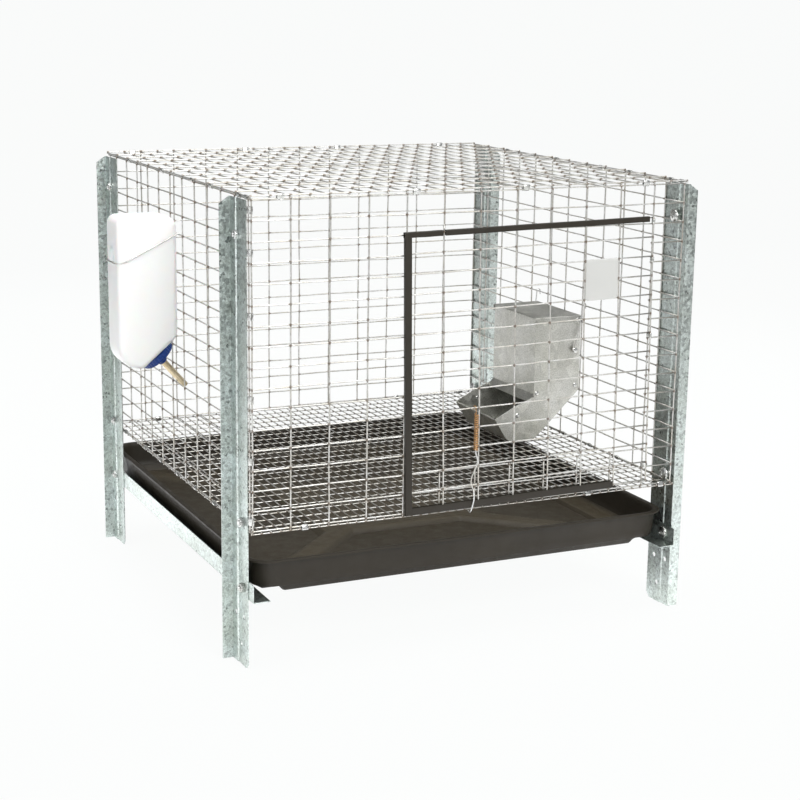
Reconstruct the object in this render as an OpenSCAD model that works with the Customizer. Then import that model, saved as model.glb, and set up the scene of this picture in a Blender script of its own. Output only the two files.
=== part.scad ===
// Wire rabbit cage on four angle legs, with a drop pan, hanging bottle and sheet feeder.

/* [Cage box] */
// Width of the wire box, left to right (mm)
cage_w = 609.6; // [558.8:50.8:660.4]
// Depth of the wire box, front to back (mm)
cage_d = 609.6; // [609.6:50.8:660.4]
// Height of the wire box (mm)
cage_h = 406.4; // [406.4:25.4:457.2]
// Diameter of the wall, roof and door wire (mm)
wall_wire = 2.0; // [1.6:0.1:2.0]
// Diameter of the floor wire (mm)
floor_wire = 1.6; // [1.2:0.1:1.6]
// Spacing of the upright wires (mm)
upright_pitch = 50.8; // [50.8]
// Spacing of the level wall wires (mm)
level_pitch = 25.4; // [25.4]
// Spacing of the close floor wires (mm)
floor_pitch = 12.7; // [12.7]

/* [Door] */
// Distance of the hinge wire from the left end of the cage front (mm)
door_hinge_x = 558.8; // [558.8]
// Width of the doorway (mm)
door_w = 355.6; // [355.6]
// How far the hung door droops towards its free side (degrees)
door_droop = 1.0; // [0:0.1:1.2]
// Width of the plastic edge strip (mm)
trim_w = 8.8; // [8:0.2:9.4]

/* [Legs and rails] */
// Width of the leg's flat flange (mm)
leg_w = 50.8; // [48:0.4:52]
// Reach of the leg's narrow flange (mm)
leg_n = 17; // [14:0.5:20]
// Sheet thickness of legs and rails (mm)
leg_t = 1.2; // [1:0.1:1.5]
// Height of the wire floor above the ground (mm)
foot_drop = 181; // [176:1:200]
// Height of the rail's upright flange (mm)
rail_h = 24; // [22:1:26]
// Width of the rail's level flange (mm)
rail_w = 23; // [20:1:26]

/* [Drop pan] */
// Width of the pan across its rim (mm)
pan_w = 606; // [596:1:606]
// Depth of the pan, front to back (mm)
pan_d = 635; // [620:1:640]
// Radius of the pan's rim corners (mm)
pan_r = 32; // [26:1:40]
// Wall thickness of the pan (mm)
pan_t = 2.5; // [2:0.1:3]

/* [Feeder] */
// Width of the feeder (mm)
feed_w = 127; // [110:1:130]
// Sheet thickness of the feeder (mm)
feed_t = 0.8; // [0.7:0.1:1]

/* [Bottle] */
// Width of the bottle along the cage wall (mm)
bottle_w = 58; // [54:1:60]
// Reach of the bottle away from the wall (mm)
bottle_reach = 81.2; // [76:0.4:81.2]
// Outside diameter of the drinking tube (mm)
tube_d = 9; // [8:0.2:9.4]

/* [Hidden] */
$fn = 48;
g = 0.01;
rw = wall_wire / 2;
rf = floor_wire / 2;
lay = rw + g;
nx = round(cage_w / upright_pitch);
ny = round(cage_d / upright_pitch);
nz = round(cage_h / level_pitch);
bend_r = 4;
sill_rows = 2;
hinge_i = round(door_hinge_x / upright_pitch);
latch_i = round((door_hinge_x - door_w) / upright_pitch);
door_rows = round(door_w / level_pitch);
z_top1 = cage_h + 2.25;
z_top2 = z_top1 + 2 * lay;
z_flr1 = -1.2 - rf - g;
z_flr2 = z_flr1 - 2 * rf - 2 * g;
skin = 2 * lay + 0.03;
y_dh = -3.95;
y_dv = y_dh - 2 * lay;
door_lift = 8.5;
door_pz = cage_h / 2;
rail_z = -89.5;
rail_y0 = -9.5;
rail_l = cage_d + 19;
pan_y0 = 2;
pan_rim_z = -42;
pan_led_z = -82;
pocket_x = 260;
pan_cx = cage_w / 2;
pan_cy = pan_y0 + pan_d / 2;
fx1 = cage_w - 3;
fx0 = fx1 - 75.6;
fy0 = 250.4;
fy1 = fy0 + feed_w;
fz1 = 187;
by0 = 268;
bym = by0 + bottle_w / 2;
bx1 = -2.8;
bx0 = bx1 - bottle_reach;
bottle_top = 356;
bottle_r = 9;
cap_r = 23.6;
cap_ribs = 28;
cap_a = 41;
cap_c = [-29.5, bym, 171.5];
tube_r = tube_d / 2;
tip_s = 66.6;
spr_x = 300.5;
spr_y = -10.6;
spr_z1 = 125;
spr_z0 = 76;
x_lo = bx0 - 3;
x_hi = cage_w + skin + leg_n;
y_lo = spr_y - 3.3;
y_hi = pan_y0 + pan_d;
leg_top = cage_h - 1.4;
leg_len = leg_top + foot_drop;
leg_y = [2, cage_d - 54.6, 56.8, cage_d - 6.6];
col_a = 15;
col_b = 35;
col_top = 21;
bolt_z = [cage_h - 44.9, 7];
rail_bolt_z = -77.5;
steel = [0.78, 0.81, 0.82];
wire_c = [0.74, 0.76, 0.75];
black = [0.21, 0.2, 0.18];
zinc = [0.83, 0.84, 0.84];

// Places a shape drawn from the wire box's front-left-bottom corner into the row frame.
module at() {
    translate([-(x_lo + x_hi) / 2, -(y_lo + y_hi) / 2, foot_drop])
        children();
}

// Straight round wire from a to b.
module rod(a, b, r) {
    v = b - a;
    translate(a)
        rotate([0, acos(v[2] / norm(v)), atan2(v[1], v[0])])
            cylinder(h = norm(v), r = r);
}

// Angle turned at bend i of a line of points.
function turn(p, i) = let (a = p[i] - p[i - 1], b = p[i + 1] - p[i])
    acos(max(-1, min(1, a * b / (norm(a) * norm(b)))));
// Splits each sharp bend into two shallower ones, c to each side of it.
function soft(p, c) = [for (i = [0 : len(p) - 1])
    each i == 0 || i == len(p) - 1 ? [p[i]] : turn(p, i) < 50 ? [p[i]]
        : [p[i] + (p[i - 1] - p[i]) * c / norm(p[i - 1] - p[i]),
            p[i] + (p[i + 1] - p[i]) * c / norm(p[i + 1] - p[i])]];
// How far a straight run stops short of bend i, so that the runs meet only in the knuckle.
function short(p, i, r) = i == 0 || i == len(p) - 1 ? 0 : r * tan(turn(p, i) / 2) + 0.1;

// Bent wire through a list of points, with a knuckle at each bend.
module bent(pts, r) {
    p = soft(pts, 1.3 * r);
    union() {
        for (i = [0 : len(p) - 2]) {
            u = (p[i + 1] - p[i]) / norm(p[i + 1] - p[i]);
            rod(p[i] + u * short(p, i, r), p[i + 1] - u * short(p, i + 1, r), r);
        }
        for (i = [1 : len(p) - 2])
            translate(p[i])
                sphere(r = 1.04 * norm([r, short(p, i, r)]));
    }
}

// Left-hand normal of a segment, and the mitred offset of a polyline.
function nrm(a, b) = let (d = b - a) [-d[1], d[0]] / norm(d);
function mit(p, i, t) = i == 0 ? p[0] + t * nrm(p[0], p[1])
    : i == len(p) - 1 ? p[i] + t * nrm(p[i - 1], p[i])
    : let (m = nrm(p[i - 1], p[i]) + nrm(p[i], p[i + 1])) p[i] + m * (2 * t / (m * m));
// Outline of a folded sheet of thickness t along a polyline.
function sheet(p, t) = concat(p, [for (i = [len(p) - 1 : -1 : 0]) mit(p, i, t)]);
// Points of an arc.
function arc(c, r, a0, a1, n) =
    [for (i = [0 : n]) c + r * [cos(a0 + (a1 - a0) * i / n), sin(a0 + (a1 - a0) * i / n)]];

// Extrusion of an outline drawn in X and Z, along +Y from y0.
module along_y(y0, len) {
    translate([0, y0 + len, 0])
        rotate([90, 0, 0])
            linear_extrude(height = len)
                children();
}

// Extrusion of an outline drawn in Y and Z, along +X from x0.
module along_x(x0, len) {
    translate([x0, 0, 0])
        rotate([90, 0, 90])
            linear_extrude(height = len)
                children();
}

// Upright wall wire.
module post(x, y, z0, z1) {
    translate([x, y, z0])
        cylinder(h = z1 - z0, r = rw);
}

// Front wall: uprights outside, level wires inside, with the doorway left open.
module front_panel() color(wire_c) at() {
    zt = cage_h + 1.15;
    for (i = [1 : latch_i])
        post(i * upright_pitch, -lay, -1.15, zt);
    for (i = [latch_i + 1 : hinge_i - 1]) {
        post(i * upright_pitch, -lay, cage_h - 2 * level_pitch - 1.3, zt);
        post(i * upright_pitch, -lay, -1.15, sill_rows * level_pitch + 1.3);
    }
    for (i = [hinge_i : nx - 1])
        post(i * upright_pitch, -lay, -1.15, zt);
    post(1.2, -lay, -1.15, zt);
    post(cage_w - bend_r - 0.6, -lay, -1.15, zt);
    for (j = [0, 1, 2, for (k = [0 : sill_rows]) nz - k])
        rod([0.2, lay, cage_h - j * level_pitch], [cage_w - bend_r, lay, cage_h - j * level_pitch], rw);
    for (j = [3 : nz - sill_rows - 1]) {
        z = cage_h - j * level_pitch;
        rod([0.2, lay, z], [latch_i * upright_pitch + 1, lay, z], rw);
        rod([hinge_i * upright_pitch - 1, lay, z], [cage_w - bend_r, lay, z], rw);
    }
}

// Right wall.
module right_panel() color(wire_c) at() {
    for (i = [1 : ny - 1])
        post(cage_w + lay, i * upright_pitch, -1.15, cage_h + 1.15);
    post(cage_w + lay, cage_d - bend_r - 0.6, -1.15, cage_h + 1.15);
    for (j = [0 : nz]) {
        z = cage_h - j * level_pitch;
        rod([cage_w - lay, bend_r, z], [cage_w - lay, cage_d - bend_r, z], rw);
    }
}

// Back wall.
module back_panel() color(wire_c) at() {
    for (i = [1 : nx - 1])
        post(i * upright_pitch, cage_d + lay, -1.15, cage_h + 1.15);
    post(bend_r + 0.6, cage_d + lay, -1.15, cage_h + 1.15);
    for (j = [0 : nz]) {
        z = cage_h - j * level_pitch;
        rod([bend_r, cage_d - lay, z], [cage_w - bend_r, cage_d - lay, z], rw);
    }
}

// Left wall, ending in the clipped seam at the front corner.
module left_panel() color(wire_c) at() {
    for (i = [1 : ny - 1])
        post(-lay, i * upright_pitch, -1.15, cage_h + 1.15);
    post(-lay, 3.4, -1.15, cage_h + 1.15);
    for (j = [0 : nz]) {
        z = cage_h - j * level_pitch;
        rod([lay, 2.4, z], [lay, cage_d - bend_r, z], rw);
    }
}

// Rounded corners where the level wires fold from one wall into the next.
module corner_bends() color(wire_c) at() {
    for (j = [0 : nz])
        for (c = [[cage_w - bend_r, bend_r, -90], [cage_w - bend_r, cage_d - bend_r, 0],
                [bend_r, cage_d - bend_r, 90]])
            translate([c[0], c[1], cage_h - j * level_pitch])
                rotate([0, 0, c[2]])
                    rotate_extrude(angle = 90)
                        translate([bend_r - lay, 0])
                            circle(r = rw);
}

// Roof: close wires front to back, wide-spaced wires across them.
module top_panel() color(wire_c) at() {
    for (i = [0 : 2 * nx])
        rod([i * level_pitch, -0.8, z_top1], [i * level_pitch, cage_d + 0.8, z_top1], rw);
    for (i = [0 : ny])
        rod([-0.8, i * upright_pitch, z_top2], [cage_w + 0.8, i * upright_pitch, z_top2], rw);
}

// Floor: half-pitch wires on top, level-pitch wires underneath.
module floor_panel() color(wire_c) at() {
    for (i = [0 : 4 * nx])
        rod([i * floor_pitch, -0.8, z_flr1], [i * floor_pitch, cage_d + 0.8, z_flr1], rf);
    for (i = [0 : 2 * ny])
        rod([-0.8, i * level_pitch, z_flr2], [cage_w + 0.8, i * level_pitch, z_flr2], rf);
}

// The hung door's own frame, drooping about the hinge wire.
module door_at() at() {
    translate([door_hinge_x, 0, door_pz])
        rotate([0, -door_droop, 0])
            translate([-door_hinge_x, 0, -door_pz])
                children();
}

// Door mesh, with one upright left long at the top.
module door_panel() color(wire_c) door_at() {
    n = round(door_w / upright_pitch);
    for (i = [0 : n])
        post(door_hinge_x - i * upright_pitch, y_dv, door_lift - 1.2,
            door_lift + door_w + (i == n - 1 ? 9 : 1.05));
    for (j = [0 : door_rows])
        rod([door_hinge_x - door_w - 1.5, y_dh, door_lift + j * level_pitch],
            [door_hinge_x - 0.6, y_dh, door_lift + j * level_pitch], rw);
}

// Plastic channel over the door's cut edge: the outline is a folded strip.
tb = -2.15;
tf = -7.9;
tt = 0.75;
top_u = sheet([[tb, door_lift + door_w - 4.9], [tb, door_lift + door_w + 1.95],
    [tf, door_lift + door_w + 1.95], [tf, door_lift + door_w - 4.9]], tt);
side_u = sheet([[door_hinge_x - door_w - 2.5 + trim_w, tb], [door_hinge_x - door_w - 2.5, tb],
    [door_hinge_x - door_w - 2.5, tf], [door_hinge_x - door_w - 2.5 + trim_w, tf]], tt);
low_u = sheet([[tb, door_lift + 5.5], [tb, door_lift - 3.5], [tf, door_lift - 3.5],
    [tf, door_lift + 5.5]], -tt);

module door_trim_top_left() color(black) door_at() {
    along_x(door_hinge_x - door_w - 2.8, upright_pitch + 1.2)
        polygon(top_u);
}

module door_trim_top_right() color(black) door_at() {
    along_x(door_hinge_x - door_w + upright_pitch + 1.6, door_w - upright_pitch - 8.4)
        polygon(top_u);
}

module door_trim_side() color(black) door_at() {
    translate([0, 0, door_lift - 3.6])
        linear_extrude(height = door_w - 1.4)
            polygon(side_u);
}

module door_trim_bottom() color(black) door_at() {
    along_x(door_hinge_x - door_w - 2.4 + trim_w, door_w - upright_pitch - trim_w + 0.8)
        polygon(low_u);
}

// Plain card hooked over a level wire of the door.
module door_tag() color([0.95, 0.95, 0.93]) door_at() {
    z = door_lift + 12 * level_pitch;
    along_x(door_hinge_x - 2 * upright_pitch + 1.3, upright_pitch - 2.6)
        polygon(sheet([[-5.05, z - 52], [-5.05, z + 1.1], [-2.85, z + 1.1], [-2.85, z - 7]], 0.45));
}

// Sheet-metal clip closed round two neighbouring wires, drawn along Z.
module clip(l, ri, ro) {
    translate([0, 0, -l / 2])
        difference() {
            cylinder(h = l, r = ro);
            translate([0, 0, -1])
                cylinder(h = l + 2, r = ri);
        }
}

// Clips that carry the door's hinge wire on the doorway's upright.
module hinge_clips() color(zinc) at() {
    for (j = [2, 4, 8, 15]) {
        z = cage_h - j * level_pitch + 4.25;
        xd = door_hinge_x - (z - door_pz) * sin(door_droop);
        translate([(xd + door_hinge_x) / 2, (y_dv - lay) / 2, z])
            clip(5.8, 4.25, 5);
    }
}

// Clips down the seam at the front-left corner.
module seam_clips() color(zinc) at() {
    for (j = [0.5, 2.5, 5.5, 9.5, 12.5, 15.5])
        translate([0.1, 1.2, cage_h - j * level_pitch])
            clip(9, 3.6, 4.3);
}

// Clips round the roof edge.
module top_clips() color(zinc) at() {
    zc = (cage_h + z_top2) / 2;
    for (i = [1.5, 8.5, 14.5, 21.5])
        for (y = [[lay / 2, 0], [cage_d - lay / 2, 0]])
            translate([i * level_pitch, y[0], zc])
                rotate([0, 90, 0])
                    clip(9, 3.35, 4);
    for (i = [0.5, 1.5, 5.5, 8.5, 13.5, 19.5])
        for (x = [lay / 2, cage_w - lay / 2])
            translate([x, i * level_pitch, (cage_h + z_top1) / 2])
                rotate([90, 0, 0])
                    clip(9, 2.4, 3.05);
}

// Clips round the floor edge.
module floor_clips() color(zinc) at() {
    for (i = [5.5, 37.5, 46.5])
        for (y = [lay / 2, cage_d - lay / 2])
            translate([i * floor_pitch, y, z_flr2 / 2])
                rotate([0, 90, 0])
                    clip(8, 3, 3.7);
    for (i = [5.5, 8.5, 11.5, 14.5, 17.5, 21.5])
        for (x = [lay / 2, cage_w - lay / 2])
            translate([x, i * level_pitch, z_flr1 / 2])
                rotate([90, 0, 0])
                    clip(8, 2.25, 2.9);
}

// Leg blank: X outwards from the cage, Y from the narrow flange, Z up from the ground.
module leg_blank(low) {
    holes = [[col_top, foot_drop + bolt_z[0], 3.3], [low, foot_drop + bolt_z[1], 3.3],
        [low, foot_drop + rail_bolt_z, 3.3], [12, foot_drop - 116, 3.3],
        [36, foot_drop - 116, 3.3], [27, foot_drop - 154, 3.3]];
    difference() {
        linear_extrude(height = leg_len)
            polygon(sheet([[leg_n, 0], [2.2, 0], [0, 8], [0, leg_w]], -leg_t));
        for (s = [[0, 1], [leg_len, -1]]) {
            along_y(-2, 6)
                polygon([[leg_n + 1, s[0] - s[1]], [leg_n + 1, s[0] + s[1] * 9.6],
                    [leg_n - 14, s[0] - s[1]]]);
            along_x(-2, 6)
                polygon([[leg_w + 1, s[0] - s[1]], [leg_w + 1, s[0] + s[1] * 8],
                    [leg_w - 8, s[0] - s[1]]]);
        }
        for (h = holes)
            translate([-2, h[0], h[1]])
                rotate([0, 90, 0])
                    cylinder(h = 8, r = h[2]);
    }
}

module leg_right(y, low) color(steel) at()
    translate([cage_w + skin, y, -foot_drop])
        leg_blank(low);

module leg_left(y, low) color(steel) at()
    translate([-skin, y, -foot_drop])
        rotate([0, 0, 180])
            leg_blank(low);

module leg_front_right() leg_right(leg_y[0], col_a);
module leg_rear_right() leg_right(leg_y[1], col_b);
module leg_front_left() leg_left(leg_y[2], col_b);
module leg_rear_left() leg_left(leg_y[3], col_a);

// Bolt positions along the cage sides, [side, y] for each leg: upper row and lower row.
leg_side = [1, 1, -1, -1];
top_row = [for (i = [0 : 3]) [leg_side[i], leg_y[i] + leg_side[i] * col_top]];
low_row = [[1, leg_y[0] + col_a], [1, leg_y[1] + col_b], [-1, leg_y[2] - col_b], [-1, leg_y[3] - col_a]];

// Moves a part drawn with +X outwards onto the left or right cage side.
module on_side(s, y, z) {
    translate([s > 0 ? cage_w : 0, y, z])
        rotate([0, 0, s > 0 ? 0 : 180])
            children();
}

// Angle rail that carries the pan, drawn for the left side.
module rail_shape(holes) {
    difference() {
        along_y(0, rail_l)
            polygon(sheet([[-skin, rail_z + rail_h], [-skin, rail_z], [-skin + rail_w, rail_z]], leg_t));
        for (h = holes)
            translate([-skin - 2, h, rail_bolt_z])
                rotate([0, 90, 0])
                    cylinder(h = 6, r = 3.3);
    }
}

module rail_left() color(steel) at()
    translate([0, rail_y0, 0])
        rail_shape([low_row[2][1] - rail_y0, low_row[3][1] - rail_y0]);

module rail_right() color(steel) at()
    translate([cage_w, cage_d - rail_y0, 0])
        rotate([0, 0, 180])
            rail_shape([cage_d - rail_y0 - low_row[0][1], cage_d - rail_y0 - low_row[1][1]]);

// Round-headed bolt with its head's seat at x0 and its shank running out to x1.
module bolt(x0, x1) {
    translate([x0, 0, 0])
        rotate([0, 90, 0]) {
            cylinder(h = x1 - x0, r = 3.1);
            translate([0, 0, -1])
                cylinder(h = 1.02, r = 9);
            intersection() {
                translate([0, 0, 10.4])
                    sphere(r = 14.2, $fn = 96);
                translate([0, 0, -5])
                    cylinder(h = 4.1, r = 8.7);
            }
        }
}

// Hexagon nut against a face at x0.
module nut(x0) {
    translate([x0, 0, 0])
        rotate([0, 90, 0])
            difference() {
                cylinder(h = 5, r = 6.35, $fn = 6);
                translate([0, 0, -1])
                    cylinder(h = 7, r = 3.13);
            }
}

module cage_bolts() color(zinc) at() {
    for (row = [[top_row, bolt_z[0]], [low_row, bolt_z[1]]])
        for (p = row[0])
            on_side(p[0], p[1], row[1])
                bolt(-2 * lay - 0.03, skin + leg_t + 7);
}

module cage_nuts() color(zinc) at() {
    for (row = [[top_row, bolt_z[0]], [low_row, bolt_z[1]]])
        for (p = row[0])
            on_side(p[0], p[1], row[1])
                nut(skin + leg_t + 0.03);
}

module rail_bolts() color(zinc) at() {
    for (p = low_row)
        on_side(p[0], p[1], rail_bolt_z)
            bolt(skin - leg_t - 0.03, skin + leg_t + 7);
}

module rail_nuts() color(zinc) at() {
    for (p = low_row)
        on_side(p[0], p[1], rail_bolt_z)
            nut(skin + leg_t + 0.03);
}

// Rounded block between two levels.
module block(w, d, r, z0, z1) {
    hull()
        for (x = [-1, 1])
            for (y = [-1, 1])
                translate([pan_cx + x * (w / 2 - r), pan_cy + y * (d / 2 - r), z0])
                    cylinder(h = z1 - z0, r = r, $fn = 40);
}

// Pocket outlines of the pan floor; e grows them outwards.
module pockets(e) {
    x0 = pan_cx - pocket_x - e;
    x1 = pan_cx + pocket_x + e;
    y0 = pan_y0 + 9 - e;
    y1 = pan_y0 + pan_d - 9 + e;
    cx = 84 + e * 0.4;
    for (s = [-1, 1]) {
        ye = s < 0 ? y0 : y1;
        polygon([[x0, ye], [x1, ye], [x1, ye - s * 25], [pan_cx + cx, pan_cy + s * (118 - e)],
            [pan_cx - cx, pan_cy + s * (118 - e)], [x0, ye - s * 25]]);
        xe = pan_cx + s * (pocket_x + e);
        polygon([[xe, y0 + 58 - 1.4 * e], [xe, y1 - 58 + 1.4 * e],
            [pan_cx + s * (124 - e), pan_cy + cx + 34], [pan_cx + s * (124 - e), pan_cy - cx - 34]]);
    }
}

// Plastic drop pan: lip, walls, ledge floor, four shallow pockets and two runners.
module drop_pan() color(black) at() {
    ri = pan_r - 6;
    difference() {
        union() {
            hull() {
                translate([0, 0, 0])
                    block(pan_w - 18, pan_d - 18, ri - 3, pan_led_z, pan_led_z + 1);
                block(pan_w - 12, pan_d - 12, ri, pan_led_z + 10, pan_rim_z - 1);
            }
            block(pan_w, pan_d, pan_r, pan_rim_z - 3, pan_rim_z);
            translate([0, 0, pan_led_z - 6.8])
                linear_extrude(height = 8)
                    pockets(0);
            for (s = [-1, 1])
                translate([pan_cx + s * 292 - 2, pan_y0 + 40, pan_led_z - 6.28])
                    cube([4, pan_d - 80, 7]);
        }
        hull() {
            block(pan_w - 23, pan_d - 23, ri - 5, pan_led_z + pan_t, pan_led_z + pan_t + 1);
            block(pan_w - 17, pan_d - 17, ri - 2.5, pan_led_z + 12, pan_rim_z + 5);
        }
        translate([0, 0, pan_led_z - 6.8 + pan_t])
            linear_extrude(height = 12)
                pockets(-pan_t);
    }
}

// Side outline of the feeder: hopper above, trough in front.
feed_out = [[fx1 - 6, fz1], [fx1 - 2.8, fz1 - 1], [fx1 - 1.2, fz1 - 4.5], [fx1 - 1.2, 177],
    [fx1, 174], [fx1, 76], [fx1 - 72.6, 7], [fx1 - 116.6, 7], [fx1 - 138.9, 42.4],
    [fx1 - 109.6, 58], [fx0, 71], [fx0, fz1]];

// Folded back, sloping bottom and trough front of the feeder.
module feeder_shell() color(steel) at() {
    along_y(fy0 + feed_t + g, feed_w - 2 * feed_t - 2 * g)
        polygon(sheet([[fx1, fz1 - 10.5], [fx1, 76], [fx1 - 72.6, 7], [fx1 - 116.6, 7],
            [fx1 - 138.9, 42.4], [fx1 - 131.4, 40]], -feed_t));
}

rivet_xz = [[fx1 - 70.6, 76.4], [fx1 - 6.4, 84], [fx1 - 102, 45.6]];
pivot_xz = [fx1 - 6, 182.5];
stud_xz = [fx1 - 11.6, 137.8];

// Flat end plate of the feeder.
module cheek(y) {
    difference() {
        along_y(y, feed_t)
            polygon(feed_out);
        for (p = concat(rivet_xz, [pivot_xz, stud_xz]))
            translate([p[0], y - 1, p[1]])
                rotate([-90, 0, 0])
                    cylinder(h = 4, r = 2.02);
    }
}

module feeder_cheek_front() color(steel) at()
    cheek(fy0);

module feeder_cheek_rear() color(steel) at()
    cheek(fy1 - feed_t);

// Front wall of the hopper, kicked back at its lower edge to guide the feed.
module feeder_hopper_front() color(steel) at() {
    along_y(fy0 + feed_t + g, feed_w - 2 * feed_t - 2 * g)
        polygon(sheet([[fx0, fz1], [fx0, 75], [fx0 - 8, 64]], feed_t));
}

// Headed rivet through a sheet that starts at y, outer head towards s.
module rivet(p, y, s, head) {
    translate([p[0], y, p[1]])
        rotate([s * 90, 0, 0]) {
            translate([0, 0, -feed_t - 1])
                cylinder(h = feed_t + 1.5, r = 2);
            translate([0, 0, 0.02])
                cylinder(h = 1.1, r1 = 3.4, r2 = 2.2);
            translate([0, 0, -feed_t - 1])
                cylinder(h = 0.95, r = 3);
        }
}

module feeder_rivets() color(zinc) at() {
    for (p = rivet_xz) {
        rivet(p, fy0, 1, 0);
        rivet(p, fy1, -1, 0);
    }
}

// Headed pins the lid turns on: shank through the cheek and the lid's side flange.
module feeder_pivots() color(zinc) at() {
    for (s = [[fy0, 1], [fy1, -1]])
        translate([pivot_xz[0], s[0], pivot_xz[1]])
            rotate([s[1] * 90, 0, 0]) {
                translate([0, 0, -feed_t - 1])
                    cylinder(h = feed_t + 3.3, r = 2);
                translate([0, 0, -feed_t - 1])
                    cylinder(h = 0.95, r = 3);
                translate([0, 0, 1.95])
                    cylinder(h = 0.85, r = 3.2);
            }
}

// Studs on the end plates that carry the wire hangers.
module feeder_studs() color(zinc) at() {
    for (s = [[fy0, 1], [fy1, -1]])
        translate([stud_xz[0], s[0], stud_xz[1]])
            rotate([s[1] * 90, 0, 0]) {
                translate([0, 0, -feed_t - 1])
                    cylinder(h = feed_t + 6.5, r = 2);
                translate([0, 0, -feed_t - 1])
                    cylinder(h = 0.95, r = 3);
                translate([0, 0, 5.4])
                    cylinder(h = 1.2, r1 = 4, r2 = 2.8);
            }
}

// Wire hangers: an eye round each stud and a hook over a level wall wire.
module feeder_hooks() color(zinc) at() {
    zh = cage_h - 8 * level_pitch;
    for (y = [fy0 - 4.2, fy1 + 4.2]) {
        translate([stud_xz[0], y, stud_xz[1]])
            rotate([90, 0, 0])
                rotate_extrude()
                    translate([3.1, 0])
                        circle(r = 1);
        bent([[stud_xz[0], y, stud_xz[1] + 3.1], [stud_xz[0] + 1, y, 147], [fx1 - 4.4, y, 168],
            [fx1 - 1.6, y, 196], [cage_w - 3.6, y, zh + 3], [cage_w - 0.8, y, zh + 3.9],
            [cage_w + 1.4, y, zh + 1.8], [cage_w + 1.9, y, zh - 4.5]], 0.9);
    }
}

// Channel-shaped lid, side flanges outside the cheeks.
module feeder_lid() color(steel) at() {
    yo = fy0 - 1.05;
    yi = fy1 + 1.05;
    difference() {
        along_x(fx0 - 1.6, 75.4)
            polygon(sheet([[yo, fz1 - 8], [yo, fz1 + 1], [yi, fz1 + 1], [yi, fz1 - 8]], feed_t));
        translate([pivot_xz[0], yo - 3, pivot_xz[1]])
            rotate([-90, 0, 0])
                cylinder(h = feed_w + 8, r = 2.05);
    }
}

// Side outline of the bottle, shrunk by e.
function bottle_out(e) = concat(
    arc([bx1 - 16, bottle_top - 16], 16 - e, 0, 90, 6),
    arc([bx0 + 12, bottle_top - 12], 12 - e, 90, 180, 5),
    arc([bx0 + 30, 183.5], 30 - e, 180, 277, 9),
    [[-48.3, 155.1] + e * [-0.45, 0.9], [-14.5, 184.5] + e * [-0.9, 0.5]],
    arc([bx1 - 20, 203], 20 - e, -30, 0, 3));

// Stubby frame along the cap's axis: +Z out of the bottle along the tube.
module cap_at() {
    translate(cap_c)
        rotate([0, 180 - cap_a, 0])
            children();
}

// Hollow flat bottle with a slanted lower face, neck and a lug for the bail.
module bottle() color([0.95, 0.96, 0.96]) at() {
    difference() {
        union() {
            intersection() {
                along_y(by0, bottle_w)
                    polygon(bottle_out(0));
                hull()
                    for (x = [bx0 + bottle_r, bx1 - bottle_r])
                        for (y = [by0 + bottle_r, by0 + bottle_w - bottle_r])
                            translate([x, y, 100])
                                cylinder(h = 300, r = bottle_r, $fn = 40);
            }
            cap_at()
                translate([0, 0, -3])
                    cylinder(h = 10.8, r = 14.5);
            translate([bx0 - 3, bym - 7, 297.5])
                cube([8, 14, 10]);
        }
        intersection() {
            along_y(by0 + 2, bottle_w - 4)
                polygon(bottle_out(2));
            hull()
                for (x = [bx0 + bottle_r, bx1 - bottle_r])
                    for (y = [by0 + bottle_r, by0 + bottle_w - bottle_r])
                        translate([x, y, 100])
                            cylinder(h = 300, r = bottle_r - 2, $fn = 40);
        }
        cap_at()
            translate([0, 0, -12])
                cylinder(h = 22, r = 11);
    }
}

// Wire bail hooked on a level wall wire and passing round the bottle.
module bottle_bail() color(zinc) at() {
    z = cage_h - 3 * level_pitch;
    ya = by0 - 1.6;
    yb = by0 + bottle_w + 1.6;
    bent([[3.5, ya, z - 4], [3.5, ya, z + 2.6], [-3.4, ya, z + 2.4], [bx0 + 8, ya, 297.5],
        [bx0 - 1.4, ya + 7, 294.8], [bx0 - 1.4, yb - 7, 294.8], [bx0 + 8, yb, 297.5],
        [-3.4, yb, z + 2.4], [3.5, yb, z + 2.6], [3.5, yb, z - 4]], 1);
}

// Ribbed screw cap with a nozzle for the drinking tube.
module bottle_cap() color([0.06, 0.15, 0.42]) at() cap_at() {
    difference() {
        union() {
            translate([0, 0, 0.9])
                cylinder(h = 8.1, r = cap_r);
            translate([0, 0, 9])
                cylinder(h = 2.2, r1 = cap_r, r2 = cap_r - 2.3);
            cylinder(h = 16, r1 = 9, r2 = 7.5);
            cylinder(h = 20, r = 6.3);
            for (i = [0 : cap_ribs - 1])
                rotate([0, 0, i * 360 / cap_ribs])
                    translate([cap_r - 0.1, 0, 1.4])
                        cylinder(h = 7.4, r = 0.9);
        }
        translate([0, 0, -1])
            cylinder(h = 9.9, r = 14.55);
        translate([0, 0, -1])
            cylinder(h = 30, r = tube_r + 0.01);
    }
}

module bottle_gasket() color([0.15, 0.15, 0.15]) at() cap_at() {
    translate([0, 0, 7.85])
        difference() {
            cylinder(h = 1, r = 14.2);
            translate([0, 0, -1])
                cylinder(h = 3, r = tube_r + 0.02);
        }
}

// Steel drinking tube, turned in at the tip to keep the ball.
module sipper_tube() color([0.72, 0.66, 0.5]) at() cap_at() {
    difference() {
        translate([0, 0, 4])
            cylinder(h = tip_s - 4, r = tube_r);
        translate([0, 0, 3])
            cylinder(h = tip_s - 3.8, r = tube_r - 0.6);
        cylinder(h = tip_s + 4, r = 3.2);
    }
}

module sipper_ball() color(zinc) at() cap_at() {
    translate([0, 0, tip_s - 0.8 - 2.2])
        sphere(r = tube_r - 0.65);
}

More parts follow.
